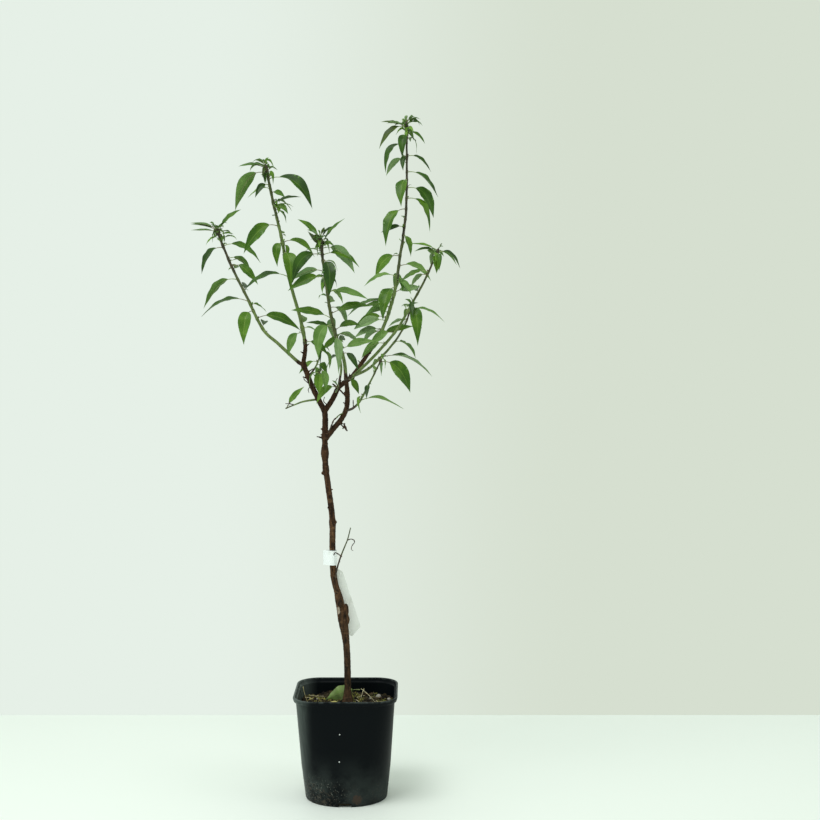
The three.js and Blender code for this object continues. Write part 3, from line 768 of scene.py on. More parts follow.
shoots = {
    "left_tall_shoot": {
        "line": [(-68, 0, 706), (-64, -14, 738), (-71, -25, 780), (-88, -35, 846), (-97, -43, 899),
                 (-109, -52, 955), (-122, -62, 1020)],
        "radii": (3.1, 1.9),
        "leaves": "17W5, 12E5; 20n6- 45w8/2 50n6- 57SSE8,/2 62SSW5,/2 61SE3,/3 62e6/5 65n5- 70W8;/7 "
                  "74n4- 79se4/3  81e4- 82ne4 86se4/2 88nw5/4 90sw4;/4 96W9.|4 93e9;/2 98w4-/2 19se5",
        "tones": "gm.d.mm.m.m.m..m..dd",
        "tuft": 6, "stem": (0.1, 0.72, 0.93),
    },
    "far_left_shoot": {
        "line": [(-68, 0, 706), (-78, 4, 711), (-108, 13, 738), (-135, 20, 763), (-162, 33, 815),
                 (-190, 43, 870), (-214, 50, 929)],
        "radii": (2.9, 1.8),
        "leaves": "33n5- 40e8/6 45SSW7,/2 49se4|5 51w9/2 58n5- 66w9.|4 72n4- 75E6;/6 78e3-/1 80ne5 87w7./3  "
                  "89w2' 88e7/5 96e3-/2 97e5'/3 98w4-/2 93w3/3 92e3-/2",
        "tones": ".mfgd.g.m..d.m",
        "tuft": 7, "stem": (0.03, 0.5, 0.7),
    },
    "middle_shoot": {
        "line": [(4, -32, 666), (2, -44, 690), (0, -57, 715), (-10, -73, 748), (-19, -87, 787),
                 (-28, -100, 850), (-33, -110, 905)],
        "radii": (3.1, 1.7),
        "leaves": "08E4, 26se5;/3 29E5-/7 33n5- 38s8,/1 42ne5- 46SW7,/4 43w4-/3 50w6-/4 53E6-/7 58n5- "
                  "66e6/4  75W6/7 79w5|6 85e3/2 86SSE8,/1 89W7;/7 91w3-/1 89e6/5 92nw4'/3 93E7;|7 "
                  "94e3-/3 95e5'/2 97w5'/3",
        "tones": "..g.p.g.mm.gmg.dd.m.p",
        "tuft": 7, "stem": (0.12, 0.3, 0.86),
    },
    "right_tall_shoot": {
        "line": [(12, 20, 688), (27, 25, 710), (57, 35, 758), (78, 44, 820), (88, 52, 884),
                 (97, 60, 950), (99, 68, 1030), (98, 74, 1103)],
        "radii": (3.1, 1.5),
        "leaves": "09W5;/6 18E5-/5 20W5/5 25W6/6 27nw7/4 31w8/2 29W4-|6 34W5,|7 35E4-/7 37SSW8,/1 "
                  "39se4;/4 41w6/2 42n6; 45e6/3 49W6;/7 53n5-  "
                  "57SSE5,/1 60W4/6 63n5- 71e8./4 67sw9,/3 75E8./5 78SSW7,/1 81e7./3 86w5;|5 87SSW4,/1 "
                  "87e5;/4  92w7,/3 96e4;/3 94e3;/3 95SSW6,/1 98w6;/4 98w4-/2 99e3-/2 41SE3,/3 99ne3'",
        "tones": "gmpmgdpmpmgg.gf.md.mmdmdgd.dm.d",
        "tuft": 8, "stem": (0.16, 0.4, 0.54),
    },
    "right_long_shoot": {
        "line": [(4, 17, 680), (20, 10, 694), (53, 0, 727), (82, -10, 761), (104, -19, 798),
                 (128, -30, 842), (149, -38, 890)],
        "radii": (2.7, 1.4),
        "leaves": "33w5; 44n5- 58e6/2 60SSE8,/1 57nw2' 64s4; 70n5- 83W4;|6 85w5/3 92n4- 97SSE4,/1 98e5;/3  "
                  "99w4-/3 42W5;/6",
        "tones": "..gm...m..md.g",
        "tuft": 5, "stem": (0.02, 0.62, 0.85),
    },
    "second_right_shoot": {
        "line": [(8, 19, 685), (33, 39, 696), (52, 55, 712), (79, 80, 742), (96, 96, 770), (106, 106, 800)],
        "radii": (2.5, 1.3),
        "leaves": "35n5; 38e9/2 60ne6; 76n5- 86nw5 93ne5;",
        "tuft": 5, "stem": (0.05, 0.6, 0.85),
    },
    "lower_right_shoot": {
        "line": [(1, -18, 632), (14, -34, 638), (26, -50, 652), (43, -70, 684), (60, -88, 718)],
        "radii": (2.1, 1.1),
        "leaves": "33e7/3 42sw3,/2 58s4;/1 78n4- 95E8./7",
        "tones": "g...m",
        "tuft": 3, "stem": (0.22, 0.7, 0.9),
    },
    "thin_back_shoot": {
        "line": [(-12, 10, 668), (-9, 40, 704), (-20, 66, 742), (-28, 84, 792), (-38, 96, 850)],
        "radii": (2.1, 1.1),
        "leaves": "30nw5; 42n6; 50e5 58w5; 66n6, 74ne6; 82nw3- 88e4; 94n5",
        "tuft": 6, "stem": (0.1, 0.6, 0.8),
    },
    "inner_left_sprig": {
        "line": [(-60, 0, 686), (-48, 18, 704), (-40, 30, 730)],
        "radii": (1.8, 0.9),
        "leaves": "60w4; 88E4' 95e4,",
        "tuft": 2, "stem": (0.3, 0.7, 1),
    },
    "inner_front_sprig": {
        "line": [(-53, 0, 668), (-46, -14, 682), (-38, -26, 700)],
        "radii": (1.8, 0.9),
        "leaves": "80w3;/3 95SSE5,/1",
        "tones": ".g",
        "tuft": 2, "stem": (0.3, 0.7, 1),
    },
    "inner_low_sprig": {
        "line": [(-14, 9, 666), (-15, -14, 662), (-10, -30, 671)],
        "radii": (1.7, 0.9),
        "leaves": "95W5;/7",
        "tones": "f",
        "tuft": 2, "stem": (0.4, 0.8, 1),
    },
    "left_bare_twig": {
        "line": [(-44, 0, 650), (-68, 3, 646), (-84, 10, 640), (-98, 14, 634)],
        "radii": (1.9, 0.9),
        "leaves": "97E4'",
        "tones": "f",
        "tuft": 0, "stem": (0.08, 0.75, 1),
    },
    "trunk_twig": {
        "line": [(-19, 1, 352), (-15, -5, 372), (-8, -10, 396), (3, -14, 423), (8, -16, 443)],
        "radii": (1.6, 0.8),
        "leaves": "",
        "tuft": 0, "stem": (0.5, 0.5, 1),
    },
}


def limbRadius(name, share):
    radii = (limbs.get(name) or shoots[name])["radii"]
    if name != "trunk":
        return lerp(*radii, share)
    height = lerp(soil["level"], limbs["trunk"]["line"][-1][2], share)
    swollen = sum(by * np.exp(-(((height - level) / span) ** 2)) for level, by, span in swellings)
    return lerp(*radii, share) + swollen


# Bark: tubes and knobs fused into one skin, then given furrows, rings and flakes

bark = {
    "voxel": 0.8,
    "furrow": 0.55,
    "flake": 0.3,
    "ring": 0.28,
    "callus": ((-13, -4, 305.5), (3.2, 4, 6.5)),  # middle, half sizes
    "sleeves": {  # old bark on the foot of a shoot: its share of the stem, radius at both ends
        "left_tall_shoot": (0.14, 3.9, 3), "right_tall_shoot": (0.15, 3.8, 2.9),
        "middle_shoot": (0.12, 3.7, 3), "far_left_shoot": (0.05, 3.4, 2.9),
    },
    "knobs": [  # middle, half sizes
        ((-0.5, -1, 306), (4.6, 4.6, 11)), ((1.5, 1, 290), (4, 4.5, 9)), ((-10, -2, 316), (4.5, 4.5, 7)),
        ((-34, 0, 563), (6.4, 6, 6)), ((-37.5, -1, 530), (2.2, 2.5, 3)), ((-33, 0, 589), (6.6, 5.6, 7)),
        ((-34, 0, 634), (5.8, 5.2, 6)), ((-67, 0, 704), (5, 4.6, 6)), ((-21, 1, 450), (6.2, 5.8, 4)),
        ((9, 18, 684), (5, 4.8, 4.6)), ((-3, 14, 676), (4.6, 4.6, 4)), ((3, -29, 660), (4.8, 4.8, 5)),
    ],
    "snags": [  # foot, tip, radius at both ends
        ((-36, 0, 586), (-47, -2, 589.5), 1.5, 1.3), ((-37, 0, 600), (-41, 0, 602), 1.6, 1.1),
        ((-37, 0, 591), (-41, -1, 592.5), 1.5, 1.0), ((-8, -10, 610), (-1.6, -11, 611), 1.1, 1.0),
        ((-2.5, -11, 609.5), (1.6, -11, 602.5), 1.0, 1.5), ((-33, 0, 577), (-28.4, 0, 577.8), 1.4, 1.0),
        ((-64, 0, 684), (-69.6, 0, 685.8), 1.4, 1.0), ((-53, 0, 668), (-47.4, 0, 670), 1.3, 0.9),
        ((-60, 0, 694), (-51.7, 0, 699.5), 1.3, 1.0), ((-14, 9, 667), (-21.5, 5, 674.7), 1.6, 1.4),
        ((-13, 9, 668), (-7.4, 8, 681), 1.5, 1.1), ((-27, -2, 503), (-20.8, -3, 503.6), 1.5, 1.1),
        ((-29, -2, 473), (-28.4, -5, 475), 1.4, 1.0), ((-11, 8, 666), (1, -22, 655), 1.4, 1.3),
        ((2, -21, 640), (-3, -24, 646), 1.2, 0.9), ((4, 17, 682), (6, 13, 691), 1.3, 1.0),
        ((-66, -8, 722), (-72, -10, 727), 1.2, 0.9), ((-63, -12, 735), (-57, -14, 740), 1.1, 0.8),
        ((24, 24, 706), (19, 20, 712), 1.2, 0.9), ((34, 28, 721), (41, 26, 723), 1.1, 0.8),
    ],
}


def limbTube(name, middles, radii):
    selectOnly()
    bpy.ops.curve.primitive_nurbs_path_add()
    limb = bpy.context.object
    limb.name = name
    limb.data.splines.clear()
    spline = limb.data.splines.new("POLY")
    spline.points.add(len(middles) - 1)
    for point, middle, radius in zip(spline.points, middles, radii):
        point.co = (*metres(middle), 1)
        point.radius = radius
    limb.data.bevel_depth = mm
    limb.data.bevel_resolution = 5
    limb.data.use_fill_caps = True
    bpy.ops.object.convert(target="MESH")
    return bpy.context.object


def knobAt(middle, halves):
    bpy.ops.mesh.primitive_ico_sphere_add(subdivisions=3, radius=1, location=metres(middle))
    knob = bpy.context.object
    knob.scale = metres(halves)
    bpy.ops.object.transform_apply()
    return knob


def barkRelief(points, normals):
    moved = np.empty(len(points))
    for i, (x, y, z) in enumerate(points):
        furrow = noiseAt(x * 0.42, y * 0.42, z * 0.07)
        flake = noiseAt(x * 0.9, y * 0.9, z * 0.35 + 20)
        ring = max(0, noiseAt(x * 0.05, y * 0.05, z * 0.85 + 60) - 0.18)
        moved[i] = -abs(furrow) * bark["furrow"] * 1.6 + flake * bark["flake"] + ring * bark["ring"] * 3
    return points + normals * (moved + bark["furrow"] * 0.35)[:, None]


def makeBark():
    tubes = []
    for name, limb in limbs.items():
        curve = curveOf(limb["line"])
        shares = np.linspace(0, 1, int(curve["length"] / 5) + 2)
        tubes.append(limbTube(name + "_tube", curve["at"](shares), [limbRadius(name, s) for s in shares]))
    for name, (end, wide, narrow) in bark["sleeves"].items():
        middles = curveOf(shoots[name]["line"])["at"](np.linspace(0, end, 12))
        tubes.append(limbTube(name + "_sleeve", middles, np.linspace(wide, narrow, 12)))
    for foot, tip, wide, narrow in bark["snags"]:
        shares = np.linspace(0, 1, 4)[:, None]
        bend = np.array([[0, 0, 0], [0.3, 0.2, 0.3], [0.2, 0.1, 0.4], [0, 0, 0]])
        middles = np.array(foot) + (np.array(tip) - foot) * shares + bend
        tubes.append(limbTube("snag", middles, [wide, (wide + narrow) / 2, narrow, narrow * 0.8]))
    tubes += [knobAt(middle, halves) for middle, halves in bark["knobs"]]
    skin = joined("bark_skin", tubes)
    fused = skin.modifiers.new("fused", "REMESH")
    fused.mode = "VOXEL"
    fused.voxel_size = bark["voxel"] * mm
    soft = skin.modifiers.new("soft", "SMOOTH")
    soft.factor = 0.5
    soft.iterations = 3
    applyModifiers(skin)
    normals = np.empty(len(skin.data.vertices) * 3)
    skin.data.vertices.foreach_get("normal", normals)
    points = pointsOf(skin)
    isAboveSoil = points[:, 2] > limbs["trunk"]["line"][0][2] + 0.5
    moved = barkRelief(points, normals.reshape(-1, 3))
    movePoints(skin, np.where(isAboveSoil[:, None], moved, points))
    skin.data.materials.append(paintBark())
    skin.data.materials.append(paintCallus())
    middle, halves = bark["callus"]
    for face in skin.data.polygons:
        off = (np.array(face.center) / mm - middle) / halves
        if off @ off < 1:
            face.material_index = 1
    selectOnly(skin)
    bpy.ops.object.shade_smooth()
    settle(skin, "bark", *limbs)
    print("bark made with", len(skin.data.polygons), "faces")


# Leaves, by the rule of the tree's source

leafRule = {
    "petioleShare": 0.24,
    "handleShare": 0.36,
    "slack": 1.17,
    "slimness": 0.1,
    "broadness": 0.112,
    "clearance": 6,
    "smallest": 42,
    "broadRoll": (50, 75),
    "slimRoll": (20, 55),
    "fold": (0.15, 0.5),
    "stray": {"bearing": 8, "length": 0.05, "start": 5, "end": 6, "twist": 35, "halfWidth": 0.012},
    "tuft": {"place": (0.955, 0.995), "length": (34, 18), "start": (45, 80), "end": (-75, 35), "turn": 137.5},
}

leafLook = {
    "thickness": 0.34,
    "tooth": 0.012,
    "wave": 0.09,
    "rise": 1,
    "taper": 1.3,
    "sabre": 0.07,
    "waveCount": (1.5, 4),
    "smallWave": 1.6,
    "smallStalk": 0.75,
    "stalkFoot": 1.5,
    "ribSunk": 0.12,
    "hook": {"small": (0.1, 0.5), "large": (-0.05, 0.1)},
    "stalk": (0.8, 0.55, 0.12),
    "rows": (24, 13),
}

compass = {"e": 0, "ne": 45, "n": 90, "nw": 135, "w": 180, "sw": 225, "ssw": 248, "s": 270, "sse": 292,
           "se": 315}
carriage = {"'": (65, 38), "-": (35, -2), "": (28, -38), ";": (20, -62), ".": (14, -75), ",": (8, -88)}

# Rows of the plain leaves that are tested for room: share of the leaf's length, breadth
bigRings = [(0.24, 0), (0.39, 0.72), (0.55, 1), (0.79, 0.62), (1, 0)]
smallRings = [(0.24, 0), (0.53, 1), (0.8, 0.62), (1, 0)]


def leafFrame(leaf, share):
    share = np.atleast_1d(share)[:, None]
    bearing = math.radians(leaf["bearing"])
    level = np.array([math.cos(bearing), math.sin(bearing), 0])

    def reach(angle, length):
        rise = math.radians(angle)
        return (level * math.cos(rise) + [0, 0, math.sin(rise)]) * length

    handle = reach(leaf["start"], leaf["length"] * leafRule["handleShare"])
    rest = reach(leaf["end"], leaf["length"] * (1 - leafRule["handleShare"]))
    ahead = unit(handle * (1 - share) + rest * share)
    flat = np.array([-math.sin(bearing), math.cos(bearing), 0])
    turn = np.radians(leaf["roll"] + leaf["twist"] * share)
    side = flat * np.cos(turn) + np.cross(ahead, flat) * np.sin(turn)
    middle = leaf["root"] + handle * share * (2 - share) + rest * share ** 2
    return middle, side, np.cross(ahead, side)


def leavesOf(shoot, curve, random):
    stray, tuft = leafRule["stray"], leafRule["tuft"]

    def around(spread):
        return (random() - 0.5) * 2 * spread

    def grow(share, bearing, length, start, end, isBroad, roll=None):
        facing = -1 if math.cos(math.radians(bearing)) < 0 else 1
        if isBroad:
            chance = facing * lerp(*leafRule["broadRoll"], random())
        else:
            chance = math.copysign(1, around(1)) * lerp(*leafRule["slimRoll"], random())
        leaf = {
            "root": curve["at"](share)[0],
            "share": share,
            "bearing": bearing + around(stray["bearing"]),
            "length": length * (1 + around(stray["length"])),
            "start": start + around(stray["start"]),
            "end": end + around(stray["end"]),
        }
        leaf["roll"] = chance if roll is None else facing * roll
        leaf["twist"] = around(stray["twist"])
        leaf["fold"] = lerp(*leafRule["fold"], random())
        width = leafRule["broadness"] if isBroad else leafRule["slimness"]
        leaf["halfWidth"] = leaf["length"] * (width + around(stray["halfWidth"]))
        return leaf

    leaves = []
    tones = shoot.get("tones", "")
    notation = re.compile(r"(\d\d)([nesw]+)(\d)([-;,.']?)(?:([/|])(\d))?", re.IGNORECASE)
    for place, way, size, mark, facing, tens in notation.findall(shoot["leaves"]):
        isBroad = way != way.lower()
        length = int(size) * 10 * leafRule["slack"]
        roll = int(tens) * (10 if facing == "/" else -10) if facing else None
        leaves.append(grow(int(place) / 100, compass[way.lower()], length, *carriage[mark], isBroad, roll))
        leaves[-1]["tone"] = leafTones.find(tones[len(leaves) - 1:len(leaves)] or ".")
    firstWay = random() * 360
    for i in range(shoot["tuft"]):
        rank = i / shoot["tuft"]
        place, length, start, end = (lerp(*tuft[name], rank) for name in ("place", "length", "start", "end"))
        leaves.append(grow(place, firstWay + tuft["turn"] * i, length, start, end, False))
    return leaves


def leafPoints(leaf):
    rings = smallRings if leaf["length"] < leafRule["smallest"] else bigRings
    middle, side, _ = leafFrame(leaf, [share for share, _ in rings])
    points = []
    for row, (_, breadth) in enumerate(rings):
        for across in (-1, 0, 1) if breadth > 0 else (0,):
            points.append(middle[row] + side[row] * across * breadth * leaf["halfWidth"])
    return np.array(points)


def limbPoints(name, curve):
    count = math.floor(curve["length"] / 4 + 0.5)
    shares = np.arange(count + 1) / count
    return name, curve["at"](shares), np.array([limbRadius(name, share) for share in shares])


def grownLeaves():  # every shoot's leaves that keep clear of the other shoots and limbs
    curves = {name: curveOf(limb["line"]) for name, limb in (limbs | shoots).items()}
    taken = [limbPoints(name, curve) for name, curve in curves.items()]
    grown = {}
    for order, (name, shoot) in enumerate(shoots.items()):
        grown[name] = []
        own = []
        for leaf in leavesOf(shoot, curves[name], seeded(order + 11)):
            points = leafPoints(leaf)
            isClear = True
            for owner, others, reach in taken:
                if owner != name:
                    apart = np.linalg.norm(points[:, None] - others[None], axis=2)
                    isClear = isClear and bool((apart > reach + leafRule["clearance"]).all())
            if isClear:
                grown[name].append(leaf)
                own.append(points)
        if own:
            taken.append((name, np.vstack(own), 0))
    return curves, grown


# A blade's eight columns: across it, and whether on the upper or the under side
bladeAcross = np.array([1, 0.5, 0, -0.5, -1, -0.5, 0, 0.5])
bladeLayer = np.array([0, 1, 1, 1, 0, -1, -1, -1])


def heapLeaf(pile, leaf, random, upper, under, stalk):
    isSmall = leaf["length"] < leafRule["smallest"]
    rows = leafLook["rows"][isSmall]
    along = (np.arange(rows) + 0.5) / rows
    petiole = leafRule["petioleShare"]
    middle, side, face = leafFrame(leaf, lerp(petiole, 1, along))
    rise, taper = leafLook["rise"], leafLook["taper"]
    widest = rise / (rise + taper)
    breadth = along ** rise * (1 - along) ** taper / (widest ** rise * (1 - widest) ** taper)
    half = leaf["halfWidth"] * breadth
    sabre = (random() - 0.5) * leafLook["sabre"] * leaf["length"]
    droop = lerp(*leafLook["hook"]["small" if isSmall else "large"], random()) * leaf["length"]
    bearing = math.radians(leaf["bearing"])
    hook = np.array([-0.6 * math.cos(bearing), -0.6 * math.sin(bearing), -0.8]) * droop  # back and down
    middle = middle + side * (np.sin(along * math.pi) * sabre)[:, None] + hook * (along ** 3)[:, None]
    teeth = 1 + leafLook["tooth"] * np.where(np.arange(rows) % 2, 1, -1)
    depth = leafLook["wave"] * (leafLook["smallWave"] if isSmall else 1)
    waves = []
    for _ in range(2):
        count, phase = lerp(*leafLook["waveCount"], random()), random() * 2 * math.pi
        waves.append(np.sin(along * count * 2 * math.pi + phase) * depth)
    rings = np.empty((rows, 8, 3))
    for column, (a, level) in enumerate(zip(bladeAcross, bladeLayer)):
        out = a * half * (teeth if abs(a) == 1 else 1)
        wave = waves[int(a > 0)] * half * abs(a) ** 1.5
        lift = leaf["fold"] * half * abs(a) + wave + level * leafLook["thickness"] / 2
        rings[:, column] = middle + side * out[:, None] + face * lift[:, None]
    ends, _, _ = leafFrame(leaf, [petiole, 1])
    ends[1] += hook
    places = np.stack([np.tile(0.5 + 0.5 * bladeAcross, rows), np.repeat(along, 8)], 1)
    places = np.vstack([places, [0.5, 0], [0.5, 1]])
    heapTube(pile, rings, ends[0], ends[1], [upper] * 4 + [under] * 4, places)
    ribShares = np.concatenate([np.linspace(0, petiole, 5), np.linspace(0.3, 0.96, 9)])
    ribAlong = np.clip((ribShares - petiole) / (1 - petiole), 0, 1)
    ribMiddle, ribSide, ribFace = leafFrame(leaf, ribShares)
    ribMiddle = ribMiddle + ribSide * (np.sin(ribAlong * math.pi) * sabre)[:, None]
    ribMiddle = ribMiddle - ribFace * leafLook["ribSunk"] + hook * (ribAlong ** 3)[:, None]
    root, foot, tip = leafLook["stalk"]
    radii = np.where(ribAlong > 0, lerp(foot, tip, ribAlong ** 0.6), lerp(root, foot, ribShares / petiole))
    radii *= leafLook["smallStalk"] if isSmall else 1
    radii[0] *= leafLook["stalkFoot"]
    before = pile["count"]
    heapStem(pile, ribMiddle, radii, 5, stalk)
    pile["places"].append(np.full((pile["count"] - before, 2), 0.5))


leafTones = "dmfopg"  # deep, mid, fresh, olive, and an underside turned to the front, pale or green


def paintLeaves():
    return [
        paintLeaf("leafDeep", (30, 59, 8), (52, 88, 15), 0.45, 0.16, (84, 114, 42)),
        paintLeaf("leafMid", (50, 88, 10), (77, 114, 20), 0.45, 0.18, (112, 140, 56)),
        paintLeaf("leafFresh", (74, 113, 27), (100, 138, 45), 0.5, 0.2, (138, 162, 82)),
        paintLeaf("leafOlive", (44, 63, 14), (74, 94, 28), 0.45, 0.18, (102, 116, 54)),
        paintLeaf("leafUnder", (102, 134, 80), (126, 154, 102), 0.6, 0.2, (152, 172, 128)),
        paintLeaf("leafUnderGreen", (84, 121, 50), (106, 141, 68), 0.6, 0.2, (136, 162, 100)),
        paintStem("leafStalk", (124, 142, 84), (158, 170, 112)),
        paintStem("leafStalkDark", (104, 96, 66), (132, 128, 88)),
    ]


def paintStems():
    return [
        paintStem("stemWood", (40, 30, 20), (76, 58, 40)),
        paintStem("stemGreen", (76, 96, 40), (112, 132, 70)),
        paintStem("stemOlive", (54, 64, 26), (86, 94, 46)),
        paintStem("stemBrown", (40, 38, 18), (72, 66, 36)),
        paintStem("budBrown", (44, 30, 20), (78, 54, 38)),
    ]


shootLook = {
    "ringStep": 3,
    "nodeSwell": 0.25,
    "nodeSpan": 2.4,
    "wander": 0.5,
    "bud": (2.3, 0.9),
    "spursEach": 60,
    "axilShare": 0.34,
    "tipLeavesPer": 5,
    "greens": {"small": (0.34, 0.56, 0.7), "large": (0.45, 0.88, 0.92)},  # a draw above each is one tone on
}

# Leaves given one by one, most of them young ones that arch over the tips: place on the stem, bearing,
# length, the angles they leave and end at, roll, half width and, for some, a letter of leafTones
setLeaves = {
    "left_tall_shoot": [
        (0.98, 178, 40, 52, -14, 30, 3.2), (0.985, 190, 38, 34, -4, 24, 3), (1, 186, 30, 72, -10, 18, 2.4),
        (1, 4, 38, 88, -34, -26, 2.6), (0.965, 8, 24, 56, 18, 20, 2.6), (0.99, 172, 24, 60, 24, 40, 2.6),
        (1, 160, 16, 80, 40, 30, 2.2), (1, 20, 15, 84, 50, 30, 2.2), (0.97, 262, 20, 40, -40, 30, 3),
        (0.8, 300, 25, 15, -45, 10, 6.5), (0.805, 4, 36, 12, 0, 16, 2), (0.785, -8, 30, -10, -50, 20, 3.6),
    ],
    "right_tall_shoot": [
        (0.985, 184, 39, 14, 16, 26, 3.2), (0.99, 176, 27, 4, 10, -20, 2.6), (0.99, 2, 36, 56, -8, 34, 3.2),
        (1, -6, 30, 40, 4, 20, 2.6), (1, 8, 22, 44, 34, 16, 2), (0.975, 268, 17, 30, -50, 20, 2.8),
        (0.97, 12, 20, 20, -60, 40, 3), (0.24, 186, 60, 18, -30, -40, 9, "p"),
        (0.2, 200, 44, 0, -50, 30, 8, "g"),
    ],
    "inner_left_sprig": [
        (0.15, -12, 32, -15, -60, 30, 8.5, "m"), (0.5, -30, 30, 20, -40, 30, 6, "m"),
    ],
    "inner_front_sprig": [
        (0.95, 262, 44, -40, -84, 8, 8, "f"),
    ],
    "right_long_shoot": [
        (0.985, -4, 44, 8, -58, 16, 6), (0.98, 182, 42, 36, -12, -30, 3.2), (1, 20, 18, 60, 50, 20, 1.6),
        (0.975, 266, 34, -30, -80, 10, 7),
    ],
    "far_left_shoot": [
        (0.985, 182, 46, 42, -4, 30, 2.8), (0.97, 190, 44, 20, -8, 26, 2.4), (0.99, 2, 30, 50, 26, 20, 2.4),
        (0.95, -8, 30, 20, 8, 30, 2.4), (0.96, 250, 22, 30, -50, 30, 3), (1, 170, 20, 60, 30, 30, 2.4),
    ],
    "middle_shoot": [
        (0.985, 176, 32, 60, 24, 30, 2.8), (0.99, 6, 30, 60, 40, 26, 2.8), (1, 150, 20, 80, 50, 20, 2.4),
        (1, 30, 22, 76, 56, 26, 2.4), (0.97, 262, 24, 44, -40, 20, 3.2), (0.96, -10, 26, 30, -10, 30, 3),
    ],
    "thin_back_shoot": [
        (0.97, 180, 30, 50, 0, 40, 3), (0.96, 20, 32, 40, -20, 40, 3.2), (0.94, 250, 30, 30, -50, 10, 3.4),
        (0.99, 120, 26, 60, 20, 30, 2.8),
    ],
}


def heapShoot(pile, shoot, curve, leaves, random):
    rows = int(curve["length"] / shootLook["ringStep"]) + 2
    shares = np.linspace(0, 1, rows)
    middles = curve["at"](shares)
    radii = lerp(*shoot["radii"], shares)
    for leaf in leaves:
        off = (shares - leaf["share"]) * curve["length"] / shootLook["nodeSpan"]
        radii = radii + shootLook["nodeSwell"] * radii * np.exp(-off ** 2)
    sway = np.array([[noiseAt(*(p * 0.05)), noiseAt(*(p * 0.05 + 30)), 0] for p in middles])
    middles = middles + sway * shootLook["wander"] * np.minimum(1, shares * 6)[:, None]
    columns = []
    for _ in range(8):
        jitter = (random() - 0.5) * 0.05
        columns.append(np.searchsorted(shoot["stem"], [jitter, *(shares + jitter)]).tolist())
    heapStem(pile, middles, radii, 8, columns)


def heapBudsAndSpurs(pile, shoot, curve, leaves, random):
    length, radius = shootLook["bud"]
    for leaf in leaves:
        if leaf["share"] > 0.97:
            continue
        bearing = math.radians(leaf["bearing"])
        out = np.array([math.cos(bearing), math.sin(bearing), 0])
        stemRadius = lerp(*shoot["radii"], leaf["share"])
        root = leaf["root"] + out * stemRadius * 0.5 + [0, 0, 1.4]
        size = lerp(0.6, 1.1, random())
        heapBud(pile, root, out * 0.7 + [0, 0, 0.8], length * size + stemRadius * 0.5, radius * size, 4)
    for _ in range(int(curve["length"] / shootLook["spursEach"])):
        share, turn = lerp(0.06, 0.88, random()), random() * 2 * math.pi
        root = curve["at"](share)[0]
        out = np.array([math.cos(turn), math.sin(turn), 0.5])
        reach = lerp(*shoot["radii"], share) + lerp(0.6, 2.4, random() ** 2)
        tip = root + unit(out) * reach
        heapStem(pile, np.linspace(root, tip, 4), [0.9, 0.8, 0.7, 0.75], 5, 4)
        heapBud(pile, tip - unit(out) * 0.6, out + [0, 0, 0.5], 1.9, 0.85, 4)


# Small leaves drawn between limits: in the axils of large ones, crowded and curled at a tip that is
# still unfolding, and fallen ones
looseLeaves = {
    "axil": {"length": (11, 19), "bearing": (-70, 70), "start": (35, 70), "end": (-30, 40), "roll": (-40, 40),
             "twist": (-30, 30), "fold": (0.2, 0.6), "halfWidth": (0.1, 0.14)},
    "tip": {"length": (11, 23), "bearing": (-30, 30), "roll": (-50, 50), "twist": (-40, 40),
            "fold": (0.4, 0.9), "halfWidth": (0.13, 0.19)},
    "erect": {"start": (60, 88), "end": (10, 70)},
    "spread": {"start": (20, 70), "end": (-60, 30)},
    "fallen": {"length": (8, 17), "bearing": (0, 360), "start": (2, 30), "end": (-25, 10), "roll": (-30, 30),
               "twist": (-40, 40), "fold": (0.2, 0.8), "halfWidth": (0.12, 0.2)},
}


def looseLeaf(root, bearing, limits, random):
    leaf = {"root": root, "length": lerp(*limits["length"], random())}
    leaf["bearing"] = bearing + lerp(*limits["bearing"], random())
    for name in ("start", "end", "roll", "twist", "fold", "halfWidth"):
        leaf[name] = lerp(*limits[name], random())
    leaf["halfWidth"] *= leaf["length"]
    return leaf


def axilLeaves(leaves, random):
    young = []
    for leaf in leaves:
        if leaf["length"] < leafRule["smallest"] or random() > shootLook["axilShare"]:
            continue
        for _ in range(1 + int(random() * 2)):
            young.append(looseLeaf(leaf["root"] + [0, 0, 1], leaf["bearing"], looseLeaves["axil"], random))
    return young


def tipLeaves(shoot, curve, random):
    young = []
    for i in range(max(0, shoot["tuft"] - 4) * shootLook["tipLeavesPer"]):
        limits = looseLeaves["tip"] | looseLeaves["spread" if i % 2 else "erect"]
        root = curve["at"](lerp(0.92, 1, random()))[0]
        young.append(looseLeaf(root, leafRule["tuft"]["turn"] * i, limits, random))
    return young


def handSet(name, curve):
    placed = []
    for share, bearing, length, start, end, roll, halfWidth, *tone in setLeaves.get(name, []):
        placed.append({
            "root": curve["at"](share)[0], "bearing": bearing, "length": length, "start": start, "end": end,
            "roll": roll, "twist": 24 if roll > 25 else -20, "fold": 0.6, "halfWidth": halfWidth,
            "tone": leafTones.find(tone[0]) if tone else -1,
        })
    return placed


